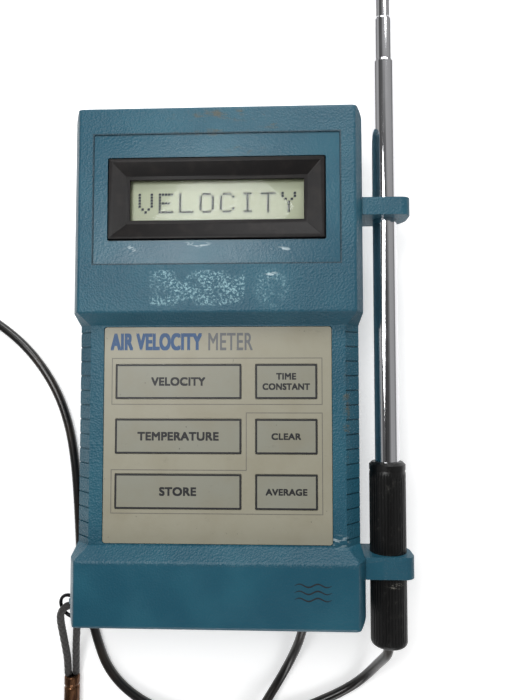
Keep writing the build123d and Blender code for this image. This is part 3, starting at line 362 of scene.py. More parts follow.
def bezel_plastic(look):
    """Satin black frame with rubbed edges and a fine grain."""
    made, shader, at = finish("bezel_black", {"Roughness": 0.42, "Specular IOR Level": 0.16})
    worn = ramp(made, noise(made, at, 5 * MM, 3), 0.45, 0.75)
    paint(made, shader, blend_colours(made, times(made, worn, 0.5), look.surround, tint(34, 30, 28)))
    raise_by(made, shader, noise(made, at, 0.5 * MM, 2), 0.02 * MM)
    return made


def window_plastic():
    """Clear flat window: light goes straight through, and the surface keeps a faint reflection."""
    made = bpy.data.materials.new("window_clear")
    made.use_nodes = True
    nodes = made.node_tree.nodes
    nodes.remove(nodes["Principled BSDF"])
    see = add(made, "BsdfTransparent", {"Color": (0.97, 0.98, 0.97, 1)})
    shine = add(made, "BsdfGlossy", {"Roughness": 0.03})
    edge = add(made, "Fresnel", {"IOR": 1.16}).outputs["Fac"]
    both = add(made, "MixShader", {0: edge, 1: see.outputs["BSDF"], 2: shine.outputs["BSDF"]})
    join(made, both.outputs["Shader"], nodes["Material Output"].inputs["Surface"])
    return made


def display_face(look):
    """Pale grey-green display glass, with painted shade from the frame darkening it towards its edges."""
    made, shader, at = finish("lcd_glass", {"Roughness": 0.3})
    cloud = ramp(made, noise(made, at, 14 * MM, 2), 0.3, 0.8)
    shade = blend_colours(made, cloud, look.face, tint(164, 167, 142))
    low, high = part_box("lcd_window")
    middle = [(a + b) / 2 / MM for a, b in zip(low, high)]
    # Painted shade: away from the middle of the window the face turns darker, standing for the frame's shade
    # on it
    centre = patch(made, at, middle, (60, 16, 20), 0.75)
    paint(made, shader, blend_colours(made, centre, tint(152, 155, 130), shade))
    return made


def film(name, base):
    """Printed satin film, yellowed in clouds, with small dark specks and rubbed grime."""
    made, shader, at = finish(name, {"Roughness": 0.42, "Specular IOR Level": 0.4})
    cloud = ramp(made, noise(made, at, 16 * MM, 4, 0.6), 0.35, 0.75)
    aged = blend_colours(made, times(made, cloud, 0.3), base, tint(122, 114, 92))
    grime = ramp(made, noise(made, at, 5 * MM, 5, 0.7, (1, 1.6, 1)), 0.6, 0.78)
    aged = blend_colours(made, times(made, grime, 0.22), aged, tint(84, 80, 70))
    specks = ramp(made, noise(made, at, 1.3 * MM, 2, 0.5, (1, 0.6, 1)), 0.73, 0.78)
    aged = blend_colours(made, times(made, specks, 0.6), aged, tint(58, 54, 46))
    paint(made, shader, aged)
    raise_by(made, shader, noise(made, at, 0.4 * MM, 2), 0.008 * MM)
    return made


def ink(name, value, roughness=0.5):
    """Screen print, slightly uneven."""
    made, shader, at = finish(name, {"Roughness": roughness})
    pale = tuple(min(1.0, x * 1.25 + 0.004) for x in value[:3]) + (1.0,)
    paint(made, shader, blend_colours(made, ramp(made, noise(made, at, 0.9 * MM, 3), 0.5, 0.8), value, pale))
    return made


def plated(look):
    """Bright plated tube with fine lengthwise polish lines and faint smears."""
    made, shader, at = finish("chrome_tube", {"Metallic": 1.0, "Base Color": look.metal})
    lines = noise(made, at, 0.25 * MM, 2, 0.5, (1, 0.02, 1))
    smear = noise(made, at, 7 * MM, 4, 0.6, (1, 0.35, 1))
    spread = {"Value": smear, "From Min": 0.4, "From Max": 0.8, "To Min": 0.07, "To Max": 0.2}
    dull = add(made, "MapRange", spread).outputs["Result"]
    join(made, dull, shader.inputs["Roughness"])
    raise_by(made, shader, lines, 0.004 * MM)
    return made


def handle_plastic(look):
    """Black moulded plastic with dust and rubbing on the ridges."""
    made, shader, at = finish("handle_black", {"Specular IOR Level": 0.35})
    dust = ramp(made, noise(made, at, 2.2 * MM, 4, 0.7), 0.55, 0.75)
    tone = blend_colours(made, times(made, dust, 0.14), look.handle, tint(120, 118, 112))
    scuff = ramp(made, noise(made, at, 0.9 * MM, 3, 0.7, (0.5, 1.5, 1)), 0.5, 0.62)
    scuff = times(made, patch(made, at, (64.5, -80.8, 29), (4.5, 1.6, 3), 0.6), scuff)
    paint(made, shader, blend_colours(made, times(made, scuff, 0.5), tone, tint(150, 146, 138)))
    gloss = add(made, "MapRange", {"Value": dust, "To Min": 0.36, "To Max": 0.6}).outputs["Result"]
    join(made, gloss, shader.inputs["Roughness"])
    raise_by(made, shader, noise(made, at, 0.5 * MM, 2), 0.015 * MM)
    return made


def cable_jacket(look):
    """Glossy dark jacket with a brownish cast and slight ripples."""
    made, shader, at = finish("cable_black", {"Roughness": 0.28})
    warm = ramp(made, noise(made, at, 11 * MM, 2), 0.4, 0.7)
    paint(made, shader, blend_colours(made, warm, look.jacket, tint(38, 31, 26)))
    raise_by(made, shader, noise(made, at, 1.8 * MM, 3), 0.03 * MM)
    return made


def braid_cloth(look):
    """Dull black braided fibre."""
    cloth = {"Roughness": 0.7, "Sheen Weight": 0.35, "Sheen Roughness": 0.4}
    made, shader, at = finish("lanyard_cord", cloth)
    fibre = noise(made, at, 0.18 * MM, 3, 0.6)
    paint(made, shader, blend_colours(made, ramp(made, fibre, 0.35, 0.8), look.braid, tint(74, 70, 68)))
    raise_by(made, shader, fibre, 0.03 * MM)
    return made


def dull_bronze(look):
    """Worn bronze with dark streaks along it."""
    made, shader, at = finish("ferrule_bronze", {"Metallic": 1.0})
    streak = ramp(made, noise(made, at, 1.1 * MM, 4, 0.65, (1, 0.18, 1)), 0.38, 0.66)
    paint(made, shader, blend_colours(made, streak, tint(70, 48, 36), look.bronze))
    gloss = add(made, "MapRange", {"Value": streak, "To Min": 0.5, "To Max": 0.26}).outputs["Result"]
    join(made, gloss, shader.inputs["Roughness"])
    return made


def plain_metal(name, value, roughness, grain=1.2):
    """Metal with clouded polish."""
    made, shader, at = finish(name, {"Metallic": 1.0, "Base Color": value})
    cloud = noise(made, at, grain * MM, 4, 0.6)
    gloss = add(made, "MapRange", {"Value": cloud, "To Min": roughness * 0.6, "To Max": roughness * 1.5})
    join(made, gloss.outputs["Result"], shader.inputs["Roughness"])
    return made


def plain_plastic(name, value, roughness, grain=0.8, clear=0.0):
    """Moulded plastic with a faint tone and grain."""
    made, shader, at = finish(name, {"Roughness": roughness, "Transmission Weight": clear})
    deep = tuple(x * 0.78 for x in value[:3]) + (1.0,)
    paint(made, shader, blend_colours(made, noise(made, at, 7 * MM, 3), deep, value))
    raise_by(made, shader, noise(made, at, grain * MM, 2), 0.02 * MM)
    return made


def circuit_green():
    """Green solder resist over a darker net of tracks."""
    made, shader, at = finish("pcb", {"Roughness": 0.35})
    net = add(made, "TexVoronoi", {"Vector": at, "Scale": 260.0}, distance="CHEBYCHEV", feature="F1")
    track = ramp(made, net.outputs["Distance"], 0.42, 0.46)
    paint(made, shader, blend_colours(made, track, tint(18, 92, 48), tint(12, 66, 36)))
    raise_by(made, shader, track, 0.02 * MM)
    return made


def cell_sleeve():
    """Printed battery sleeve: dark with a copper-coloured band at one end."""
    made, shader, at = finish("battery_can", {"Roughness": 0.3, "Metallic": 0.6})
    along = add(made, "SeparateXYZ", {"Vector": at}).outputs["Y"]
    band = ramp(made, along, -48.2 * MM, -48.0 * MM)
    paint(made, shader, blend_colours(made, band, tint(34, 34, 38), tint(176, 108, 58)))
    raise_by(made, shader, noise(made, at, 2 * MM, 2), 0.01 * MM)
    return made


def display_dot(name, value):
    """A darkened dot of the display, or the painted shadow that a dot casts on the face behind it."""
    made, shader, at = finish(name, {"Roughness": 0.4})
    deep = tuple(x * 0.8 for x in value[:3]) + (1.0,)
    paint(made, shader, blend_colours(made, noise(made, at, 12 * MM, 2), deep, value))
    return made


FINISHES = {}
# Finishes of one kind: each one's colour and roughness
PLASTICS = {
    "white_plastic": ((222, 220, 210), 0.35),
    "chip_black": ((28, 28, 30), 0.5),
    "connector_white": ((214, 206, 184), 0.45),
    "sheet_film": ((196, 190, 168), 0.3),
    "tray_black": ((30, 31, 33), 0.5),
    "sensor_black": ((26, 26, 28), 0.45),
    "bead_glass": ((226, 226, 220), 0.15, 0.3),
}
METALS = {
    "steel": ((176, 176, 178), 0.3),
    "brass_bush": ((196, 160, 96), 0.3),
    "ring_black": ((40, 40, 43), 0.35),
}


def make_finishes(scene):
    """Makes every material once and lays it on the CAD pieces by the name of their slot."""
    case, display, keypad = scene.meter_case, scene.meter_display, scene.meter_keypad
    probe, cord = scene.meter_probe, scene.meter_cord
    for name, (rgb, *rest) in PLASTICS.items():
        FINISHES[name] = plain_plastic(name, tint(*rgb), *rest)
    for name, (rgb, *rest) in METALS.items():
        FINISHES[name] = plain_metal(name, tint(*rgb), *rest)
    for name, value in (
        ("print_dark", keypad.ink),
        ("print_blue", keypad.blue_ink),
        ("print_rule", keypad.rule_ink),
        ("print_grey", tint(88, 90, 92)),
    ):
        FINISHES[name] = ink(name, value)
    FINISHES.update(
        case_teal=case_plastic(case),
        bezel_black=bezel_plastic(display),
        window_clear=window_plastic(),
        lcd_glass=display_face(display),
        pcb=circuit_green(),
        overlay=film("overlay", keypad.film),
        key_face=film("key_face", keypad.key),
        battery_can=cell_sleeve(),
        cable_black=cable_jacket(cord),
        handle_black=handle_plastic(probe),
        chrome_tube=plated(probe),
        lanyard_cord=braid_cloth(cord),
        ferrule_bronze=dull_bronze(cord),
        dot_dark=display_dot("dot_dark", display.dots),
        dot_shade=display_dot("dot_shade", tint(136, 142, 130)),
    )
    slots = {part["node"]: part["material_slot"] for part in frame["record"]["subparts"]}
    for node, piece in NODES.items():
        piece.data.materials.clear()
        piece.data.materials.append(FINISHES[slots[node]])


# ---------------------------------------------------------------- surfaces


def shown(name, data):
    """A new object that holds the data, in the scene."""
    made = bpy.data.objects.new(name, data)
    bpy.context.scene.collection.objects.link(made)
    return made


def flat_mesh(holder):
    """The mesh that a text or a curve makes; its object is removed."""
    bpy.context.view_layer.update()
    mesh = bpy.data.meshes.new_from_object(holder.evaluated_get(bpy.context.evaluated_depsgraph_get()))
    bpy.data.objects.remove(holder)
    points = np.zeros(len(mesh.vertices) * 3)
    mesh.vertices.foreach_get("co", points)
    return mesh, points.reshape(-1, 3)


def piece_from(name, points, faces, finish_name, body, smooth_below=40.0):
    """A mesh object from points and faces; edges that turn by less than an angle are shaded smooth."""
    mesh = bpy.data.meshes.new(name)
    faces = faces.tolist() if isinstance(faces, np.ndarray) else faces
    mesh.from_pydata(np.asarray(points, float).reshape(-1, 3), [], faces)
    mesh.update()
    mesh.shade_smooth()
    mesh.set_sharp_from_angle(angle=math.radians(smooth_below))
    made = shown(name, mesh)
    mesh.materials.append(FINISHES[finish_name])
    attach(made, body)
    return made


def grid_faces(rows, columns, wrap_rows=False):
    """Quads between neighbours on a grid of points, row by row; each row is a ring of columns."""
    row = np.arange(rows if wrap_rows else rows - 1)[:, None]
    here = np.arange(columns)[None, :]
    start, following, beside = row * columns, (row + 1) % rows * columns, (here + 1) % columns
    corners = [start + here, start + beside, following + beside, following + here]
    return np.stack(corners, -1).reshape(-1, 4)


def flat_outline(name, loops, z, finish_name, body):
    """Thin print: bands between pairs of closed outlines of equal length, all at one height."""
    points, faces, start = [], [], 0
    for outer, inner in loops:
        count = len(outer)
        ring = np.concatenate([outer, inner])
        points.append(np.column_stack([ring, np.full(len(ring), z)]))
        a = np.arange(count)
        b = (a + 1) % count
        faces.append(start + np.stack([a, b, b + count, a + count], -1))
        start += 2 * count
    return piece_from(name, np.concatenate(points), np.concatenate(faces), finish_name, body)


def rectangle(low, high, inset=0.0):
    """The four corners of a rectangle, drawn in by inset, counterclockwise."""
    x0, y0, x1, y1 = low[0] + inset, low[1] + inset, high[0] - inset, high[1] - inset
    return np.array([(x0, y0), (x1, y0), (x1, y1), (x0, y1)])


def inset_outline(corners, by):
    """A right-angled outline drawn in: each corner moves by a distance along both its edges' normals."""
    corners = np.asarray(corners, float)
    edge = np.roll(corners, -1, 0) - corners
    edge /= np.linalg.norm(edge, axis=1)[:, None]
    normal = np.column_stack([-edge[:, 1], edge[:, 0]])
    return corners + by * (normal + np.roll(normal, 1, 0))


SHARP_EDGE, SAME_FLAT = 32.0, 0.4  # degrees: edges turning more are rounded, those turning less go


def soft_edged(node, width):
    """A merged copy of a CAD piece with its sharp edges rounded, standing for that piece."""
    source = NODES[node]
    shape = bmesh.new()
    shape.from_mesh(source.data)
    bmesh.ops.remove_doubles(shape, verts=shape.verts, dist=0.001 * MM)
    bmesh.ops.dissolve_limit(shape, angle_limit=math.radians(SAME_FLAT), verts=shape.verts, edges=shape.edges)
    mesh = bpy.data.meshes.new(node + "_soft")
    shape.to_mesh(mesh)
    shape.free()
    mesh.shade_smooth()
    made = shown(node + "_soft", mesh)
    mesh.materials.append(source.data.materials[0])
    round_edges = made.modifiers.new("edges", "BEVEL")
    round_edges.width = width
    round_edges.segments = 2
    round_edges.limit_method = "ANGLE"
    round_edges.angle_limit = math.radians(SHARP_EDGE)
    round_edges.use_clamp_overlap = True
    keep_flat = made.modifiers.new("flat", "WEIGHTED_NORMAL")
    keep_flat.weight = 100
    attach(made, BODY_OF[node])
    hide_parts(node)
    return made


def lettering(name, text, height, width, centre, finish_name, body, boldness=0.13 * MM):
    """Flat printed capitals, scaled to a height and a width and centred at a point.

    The word is laid down five times, at its place and at the four corners round it, which makes it bold.
    """
    curve = bpy.data.curves.new(name, "FONT")
    curve.body = text
    curve.fill_mode = "FRONT"
    curve.space_character = 1.06
    mesh, points = flat_mesh(shown(name + "_type", curve))
    low, high = points.min(0), points.max(0)
    points = (points - (low + high) / 2) / (high - low + (0, 0, 1))
    points *= (width - 2 * boldness, height - 2 * boldness, 0)
    mesh.calc_loop_triangles()
    faces = np.zeros(len(mesh.loop_triangles) * 3, int)
    mesh.loop_triangles.foreach_get("vertices", faces)
    bpy.data.meshes.remove(mesh)
    shifts = np.array([(0, 0, 0), (-1, -1, 0.01), (1, -1, 0.02), (1, 1, 0.03), (-1, 1, 0.04)])
    struck = points + np.array(centre) + boldness * shifts[:, None]
    struck_faces = faces.reshape(-1, 3) + len(points) * np.arange(len(shifts))[:, None, None]
    return piece_from(name, struck, struck_faces.reshape(-1, 3), finish_name, body)


def smooth_line(points):
    """Points of the smooth curve that a cord's route makes, evenly and closely spaced."""
    mesh, line = flat_mesh(shown("route", route_curve("route", points, 0)))
    bpy.data.meshes.remove(mesh)
    return line


def route_curve(name, points, radius):
    """A NURBS curve through the neighbourhood of its route's points, in millimetres, as a round tube."""
    curve = bpy.data.curves.new(name, "CURVE")
    curve.dimensions = "3D"
    curve.bevel_depth = radius
    curve.bevel_resolution = 5
    curve.use_fill_caps = True
    curve.resolution_u = 8
    spline = curve.splines.new("NURBS")
    points = np.asarray(points, float) * MM
    spline.points.add(len(points) - 1)
    spline.points.foreach_set("co", np.column_stack([points, np.ones(len(points))]).ravel())
    spline.order_u = 3
    spline.use_endpoint_u = True
    return curve


def evenly(line, step):
    """The same line with points a step apart, by distance along it."""
    run = np.concatenate([[0], np.cumsum(np.linalg.norm(np.diff(line, axis=0), axis=1))])
    marks = np.linspace(0, run[-1], max(4, int(round(run[-1] / step))))
    return np.column_stack([np.interp(marks, run, line[:, axis]) for axis in range(3)]), marks


def braided(name, route, width, body):
    """A braided cord: a tube whose radius rises where either of two crossing sets of strands runs on top.

    With turn a round the tube and run s along it, the strands are at 4a + ks and 4a - ks. Each stands
    out by the square of its half cosine, and the two take turns on top by the cosine of ks.
    """
    line, marks = evenly(smooth_line(route), 0.22 * MM)
    ahead = np.gradient(line, axis=0)
    ahead /= np.linalg.norm(ahead, axis=1)[:, None]
    side = np.cross(ahead, (0.0, 0.0, 1.0))
    side /= np.linalg.norm(side, axis=1)[:, None]
    up = np.cross(side, ahead)
    turn = np.linspace(0, 2 * math.pi, 32, endpoint=False)
    wave = 2 * math.pi / (3.4 * MM) * marks[:, None]
    one = np.cos((4 * turn + wave) / 2) ** 2
    two = np.cos((4 * turn - wave) / 2) ** 2
    over = 0.5 + 0.5 * np.cos(4 * turn) * np.ones_like(wave)
    rise = np.maximum(one * (0.6 + 0.4 * over), two * (1.0 - 0.4 * over))
    radius = width / 2 * (0.84 + 0.16 * rise)
    points = line[:, None] + radius[..., None] * (
        np.cos(turn)[None, :, None] * side[:, None] + np.sin(turn)[None, :, None] * up[:, None]
    )
    rows, columns = radius.shape
    ends = [list(range(columns))[::-1], list(range((rows - 1) * columns, rows * columns))]
    made = piece_from(name, points, grid_faces(rows, columns).tolist() + ends, "lanyard_cord", body, 70)
    return made, line


def turned(name, outline, centre, finish_name, body):
    """A closed outline of (y, radius) points, turned round an axis along Y."""
    sides = 96
    y, radius = np.asarray(outline, float).T
    turn = np.linspace(0, 2 * math.pi, sides, endpoint=False)
    points = np.stack(
        [
            centre[0] + radius[:, None] * np.sin(turn),
            np.repeat(y[:, None], sides, 1),
            centre[2] + radius[:, None] * np.cos(turn),
        ],
        -1,
    )
    return piece_from(name, points, grid_faces(len(y), sides, True), finish_name, body)


# ---------------------------------------------------------------- pieces


FLOOR_HALF, FLOOR_DROP = 3.0, 0.00002
# Each light's name, size, place and the point it faces
LIGHTS = (
    ("key", (0.25, 0.1), (-0.078, 0.09, 0.36), (-0.01, 0.04, 0.0)),
    ("back", (0.4, 0.2), (0.12, 0.5, 0.32), (0.0, 0.05, 0.0)),
    ("front", (0.3, 0.1), (0.02, -0.4, 0.2), (0.0, 0.02, 0.03)),
)
# Brightness of the sky from the horizon up, and across from low on the left to low on the right
SKY_UP = ((0.0, 0.35), (0.3, 1.0), (0.84, 1.0), (0.93, 0.25), (1.0, 0.14))
SKY_ACROSS = ((0.0, 1.0), (0.19, 1.0), (0.24, 0.2), (0.4, 0.25), (0.48, 1.0), (1.0, 0.8))
CAMERA_PLACE = (24.343 * MM, -4.498 * MM, 234.6 * MM)
CAMERA_TURN = (0.046, 0.038, -0.001)


def greys(made, value, stops):
    """A colour ramp of greys, from places between 0 and 1 and how bright each is."""
    ramp_node = add(made, "ValToRGB", {"Fac": value})
    marks = ramp_node.color_ramp.elements
    for at, grey in stops:
        mark = marks[0] if at == 0.0 else marks[-1] if at == 1.0 else marks.new(at)
        mark.color = (grey, grey, grey, 1.0)
    return ramp_node.outputs["Color"]


class METER_OT_stage(bpy.types.Operator):
    """Lay the floor, hang the soft lights and set the camera"""

    bl_idname = "meter.stage"
    bl_label = "Stage"

    def execute(self, context):
        look = context.scene.meter_stage
        mesh = bpy.data.meshes.new("floor")
        corners = rectangle((-FLOOR_HALF, -FLOOR_HALF), (FLOOR_HALF, FLOOR_HALF))
        mesh.from_pydata(np.column_stack([corners, np.full(4, -FLOOR_DROP)]), [], [(0, 1, 2, 3)])
        floor = shown("floor", mesh)
        sheen = {"Roughness": 0.9, "Specular IOR Level": 0.1, "Emission Strength": 0.42}
        made, _, _ = finish("floor", {"Emission Color": look.floor, "Base Color": look.floor, **sheen})
        mesh.materials.append(made)
        for name, size, spot, aim in LIGHTS:
            light = bpy.data.lights.new(name, "AREA")
            light.energy = getattr(look, name + "_power")
            light.shape = "RECTANGLE"
            light.size, light.size_y = size
            lamp = shown(name, light)
            lamp.location = spot
            ray = np.array(aim) - np.array(spot)
            flat = math.hypot(ray[0], ray[1])
            lamp.rotation_euler = (math.atan2(flat, -ray[2]), 0, math.atan2(ray[0], -ray[1]) + math.pi)
        world = bpy.data.worlds.new("sky")
        world.use_nodes = True
        parts = add(world, "SeparateXYZ", {"Vector": add(world, "TexCoord").outputs["Generated"]}).outputs
        turn = sum_of(world, parts["X"], parts["Z"], "ARCTAN2")
        ends = {"Value": turn, "From Min": -math.pi / 2, "From Max": math.pi / 2}
        across = add(world, "MapRange", ends).outputs["Result"]
        upward, sideways = greys(world, parts["Z"], SKY_UP), greys(world, across, SKY_ACROSS)
        glow = blend_colours(world, 1.0, upward, sideways, "MULTIPLY")
        background = world.node_tree.nodes["Background"].inputs
        join(world, glow, background["Color"])
        background["Strength"].default_value = look.sky
        context.scene.world = world
        context.scene.view_settings.view_transform = "Standard"
        camera = bpy.data.cameras.new("camera")
        camera.lens = look.lens
        camera.sensor_width = 36.0
        camera.clip_start = 0.01
        eye = shown("camera", camera)
        eye.location = CAMERA_PLACE
        eye.rotation_euler = CAMERA_TURN
        context.scene.camera = eye
        return {"FINISHED"}


COIL_POINTS = 14  # to a turn


def coil_turns(centre, inner, outer, turns, start, end, rise):
    """A two-layer coil: in along the bottom layer, up at the middle and out along the top one.

    The angle runs from start through the turns to end, the radius falls from outer to inner and
    grows back, and the height climbs one layer over the last half turn of the bottom layer.
    """
    whole = 2 * turns + ((end - start) / 360.0) % 1.0
    steps = int(round(whole * COIL_POINTS)) + 1
    along = np.linspace(0, whole, steps)
    angle = np.radians(start) + 2 * math.pi * along
    middle = whole / 2
    radius = inner + (outer - inner) * np.abs(along - middle) / middle
    climb = np.clip((along - (middle - 0.5)) / 0.5, 0, 1)
    height = rise / 2 + rise * climb * climb * (3 - 2 * climb)
    return np.column_stack([centre[0] + radius * np.cos(angle), centre[1] + radius * np.sin(angle), height])


# Points that the cords lie along, in millimetres
CABLE_OUT = [
    (63.3, -105.1, 23.0), (63.2, -108.4, 21.6), (62.2, -112.4, 17.2), (60.9, -116.9, 12.0),
    (59.3, -121.4, 7.6), (57.0, -125.6, 4.4), (53.9, -129.2, 2.6), (50.1, -132.0, 1.9),
    (45.7, -134.4, 1.8), (40.4, -136.8, 1.8), (33.4, -139.8, 1.8), (24.4, -142.9, 1.8),
    (13.5, -145.7, 1.8), (2.0, -147.2, 1.8), (-9.0, -146.9, 1.8), (-19.5, -144.9, 1.8),
    (-28.5, -141.7, 1.8), (-36.6, -137.6, 1.8), (-44.2, -131.6, 1.8), (-49.5, -124.6, 1.8),
    (-52.6, -117.1, 1.8), (-55.2, -108.6, 1.8), (-58.2, -98.2, 1.8), (-60.4, -87.0, 1.8),
    (-61.3, -75.7, 1.8), (-62.1, -62.0, 1.8), (-63.2, -48.0, 1.8), (-64.7, -35.6, 1.8),
    (-67.2, -24.2, 1.8), (-71.4, -12.8, 1.8), (-78.0, -1.6, 1.8), (-86.9, 8.9, 1.8),
    (-97.5, 17.4, 1.8), (-107.8, 23.4, 1.8),
]
CABLE_BACK = [
    (-157.0, -8.0, 1.8), (-156.0, -19.0, 1.8), (-153.6, -38.0, 1.8), (-150.4, -64.0, 1.8),
    (-146.2, -90.0, 1.8), (-140.4, -115.0, 1.8), (-132.0, -140.0, 1.8), (-119.6, -162.0, 1.8),
    (-100.8, -180.4, 1.8), (-76.4, -191.6, 1.8), (-50.4, -193.6, 1.8), (-27.0, -187.2, 1.8),
    (-9.4, -172.6, 1.8), (2.6, -158.4, 3.2), (8.4, -149.6, 6.2), (13.0, -142.2, 6.2),
    (17.4, -135.8, 4.4), (22.4, -128.6, 2.9), (26.2, -121.6, 3.6), (29.0, -114.6, 6.6),
    (31.0, -107.4, 10.6), (32.0, -102.4, 12.3),
]
LANYARD = [
    (-64.8, -127.4, 3.9), (-64.4, -121.6, 5.4), (-64.1, -114.8, 8.6), (-64.0, -107.6, 12.0),
    (-63.8, -101.8, 15.0), (-63.2, -97.8, 17.2), (-61.6, -95.0, 17.9), (-59.8, -94.3, 16.8),
    (-58.6, -95.5, 14.8), (-58.2, -98.6, 12.8), (-58.5, -102.4, 11.7), (-59.2, -107.4, 10.2),
    (-60.2, -113.0, 7.9), (-61.2, -120.0, 5.0), (-62.0, -127.4, 2.6),
]


# The coil: its inner radius, turns in each of two layers, and the angles where it starts and ends
COIL_INNER, COIL_LAYER_TURNS, COIL_FROM_TO = 14.4, 3, (62, 182)
COIL_IN = [(-113.6, 27.0, 1.8)]
COIL_OUT = [(-157.4, 3.0, 3.9), (-157.3, -3.0, 2.2)]
# The wrist loop: its turns, how far apart they lie, and how it leaves the ferrule and comes back
WRIST_TURNS, WRIST_PITCH, WRIST_HEIGHT, WRIST_POINTS = 2.75, 3.15, 1.6, 40
WRIST_BACK = [
    (-78.0, -155.2, 2.6), (-73.6, -157.0, 4.5), (-69.0, -158.4, 4.8),
    (-64.6, -157.4, 4.7), (-61.8, -153.8, 4.0), (-61.7, -149.8, 3.2),
]


class METER_OT_cable(bpy.types.Operator):
    """Run the probe's cable past the foot and the left side into its coil and back to the gland"""

    bl_idname = "meter.cable"
    bl_label = "Cable"

    def execute(self, context):
        look = context.scene.meter_cord
        low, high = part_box("cable_coil")
        centre = ((low.x + high.x) / 2 / MM, (low.y + high.y) / 2 / MM)
        wide = look.cable / MM
        outer = (high.x - low.x) / 2 / MM - wide / 2
        turns = coil_turns(centre, COIL_INNER, outer, COIL_LAYER_TURNS, *COIL_FROM_TO, wide)
        route = np.concatenate([CABLE_OUT, COIL_IN, turns, COIL_OUT, CABLE_BACK[1:]])
        curve = route_curve("cable", route, look.cable / 2)
        cable = shown("cable", curve)
        curve.materials.append(FINISHES["cable_black"])
        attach(cable, "meter")
        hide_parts("cable_tube_a", "cable_tube_b", "cable_coil")
        return {"FINISHED"}


class METER_OT_lanyard(bpy.types.Operator):
    """Braid the lanyard through its ring and coil its wrist loop beyond the ferrule"""

    bl_idname = "meter.lanyard"
    bl_label = "Lanyard"

    def execute(self, context):
        look = context.scene.meter_cord
        loop, line = braided("lanyard", LANYARD, look.lanyard, "meter")
        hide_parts("lanyard_loop")
        ferrule = self.ferrule()
        low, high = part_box("wrist_coil")
        centre = np.array([(low.x + high.x) / 2, (low.y + high.y) / 2]) / MM
        outer = (high.x - low.x) / 2 / MM - 1.5
        angle = -np.linspace(0, WRIST_TURNS, WRIST_POINTS) * 2 * math.pi
        radius = np.linspace(outer, outer - WRIST_TURNS * WRIST_PITCH, WRIST_POINTS)
        across, along = centre[0] + radius * np.cos(angle), centre[1] + radius * np.sin(angle)
        turns = np.column_stack([across, along, np.full(WRIST_POINTS, WRIST_HEIGHT)])
        end_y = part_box("lanyard_ferrule")[0].y / MM
        leaving = [(-64.9, end_y, 3.7), (-65.2, end_y - 4, 3.0), (-65.4, end_y - 9, 1.9)]
        route = np.concatenate([leaving, turns, WRIST_BACK, [(-62.1, end_y, 2.7)]])
        wrist, line = braided("wrist_loop", route, look.lanyard, "meter")
        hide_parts("wrist_coil")
        return {"FINISHED"}

    def ferrule(self):
        """A short sleeve with rolled ends and two crimps, where the radius dips by a bell."""
        low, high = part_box("lanyard_ferrule")
        outer = (high.x - low.x) / 2
        y = np.linspace(low.y, high.y, 90)
        share = (y - low.y) / (high.y - low.y)
        dip = sum(np.exp(-(((share - spot) / 0.03) ** 2)) for spot in (0.22, 0.78))
        roll = np.sqrt(np.clip(1 - np.clip(1 - np.minimum(share, 1 - share) / 0.045, 0, 1) ** 2, 0, 1))
        radius = outer * (0.82 + 0.18 * roll) - 0.35 * MM * dip
        profile = np.column_stack([y, radius])
        bore = [(high.y, 2.0 * MM), (low.y, 2.0 * MM)]
        centre = ((low.x + high.x) / 2, 0, (low.z + high.z) / 2)
        made = turned("ferrule", np.concatenate([profile, bore]), centre, "ferrule_bronze", "meter")
        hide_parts("lanyard_ferrule")
        return made


# The mark on the foot in millimetres: its ends, lowest line, line spacing and wavelength
MARK_X, MARK_Y, MARK_ROW, MARK_WAVE = (28.0, 41.0), -82.6, 2.4, 6.5
MARK_SWING, MARK_HALF = 0.55 * MM, 0.26 * MM


class METER_OT_case(bpy.types.Operator):
    """Round the edges of the case's shells, its battery door and its clips"""

    bl_idname = "meter.case"
    bl_label = "Case"

    def execute(self, context):
        edge = context.scene.meter_case.edge
        for node, width in (
            ("front_shell", edge),
            ("back_shell", edge),
            ("battery_door", edge * 0.7),
            ("upper_clip", edge * 1.3),
            ("lower_clip", edge * 1.3),
        ):
            soft_edged(node, width)
        self.mark(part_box("front_shell")[1].z + 0.03 * MM)
        return {"FINISHED"}

    def mark(self, z):
        """Three wavy lines for moving air, printed on the foot: each is a sine that thins to its ends."""
        along = np.linspace(*MARK_X, 60)
        x, middle, reach = along * MM, sum(MARK_X) / 2, (MARK_X[1] - MARK_X[0]) / 2 + 0.1
        wave = MARK_SWING * np.sin((along - MARK_X[0]) * 2 * math.pi / MARK_WAVE)
        half = MARK_HALF * np.sqrt(np.clip(1 - ((along - middle) / reach) ** 2, 0.02, 1))
        points, faces = [], []
        for row in range(3):
            start = sum(len(p) for p in points)
            y = (MARK_Y + MARK_ROW * row) * MM + wave
            points.append(np.column_stack([x, y - half, np.full_like(x, z)]))
            points.append(np.column_stack([x, y + half, np.full_like(x, z)]))
            a = start + np.arange(len(x) - 1)
            faces.append(np.stack([a, a + 1, a + 1 + len(x), a + len(x)], -1))
        piece_from("air_mark", np.concatenate(points), np.concatenate(faces), "print_dark", "meter")


# Across and up: the word from the window's middle, and a dot's painted shadow from the dot
WORD_SHIFT = np.array([-0.1, -0.45]) * MM
DOT_SHADOW_SHIFT = np.array([-0.25, -0.2]) * MM


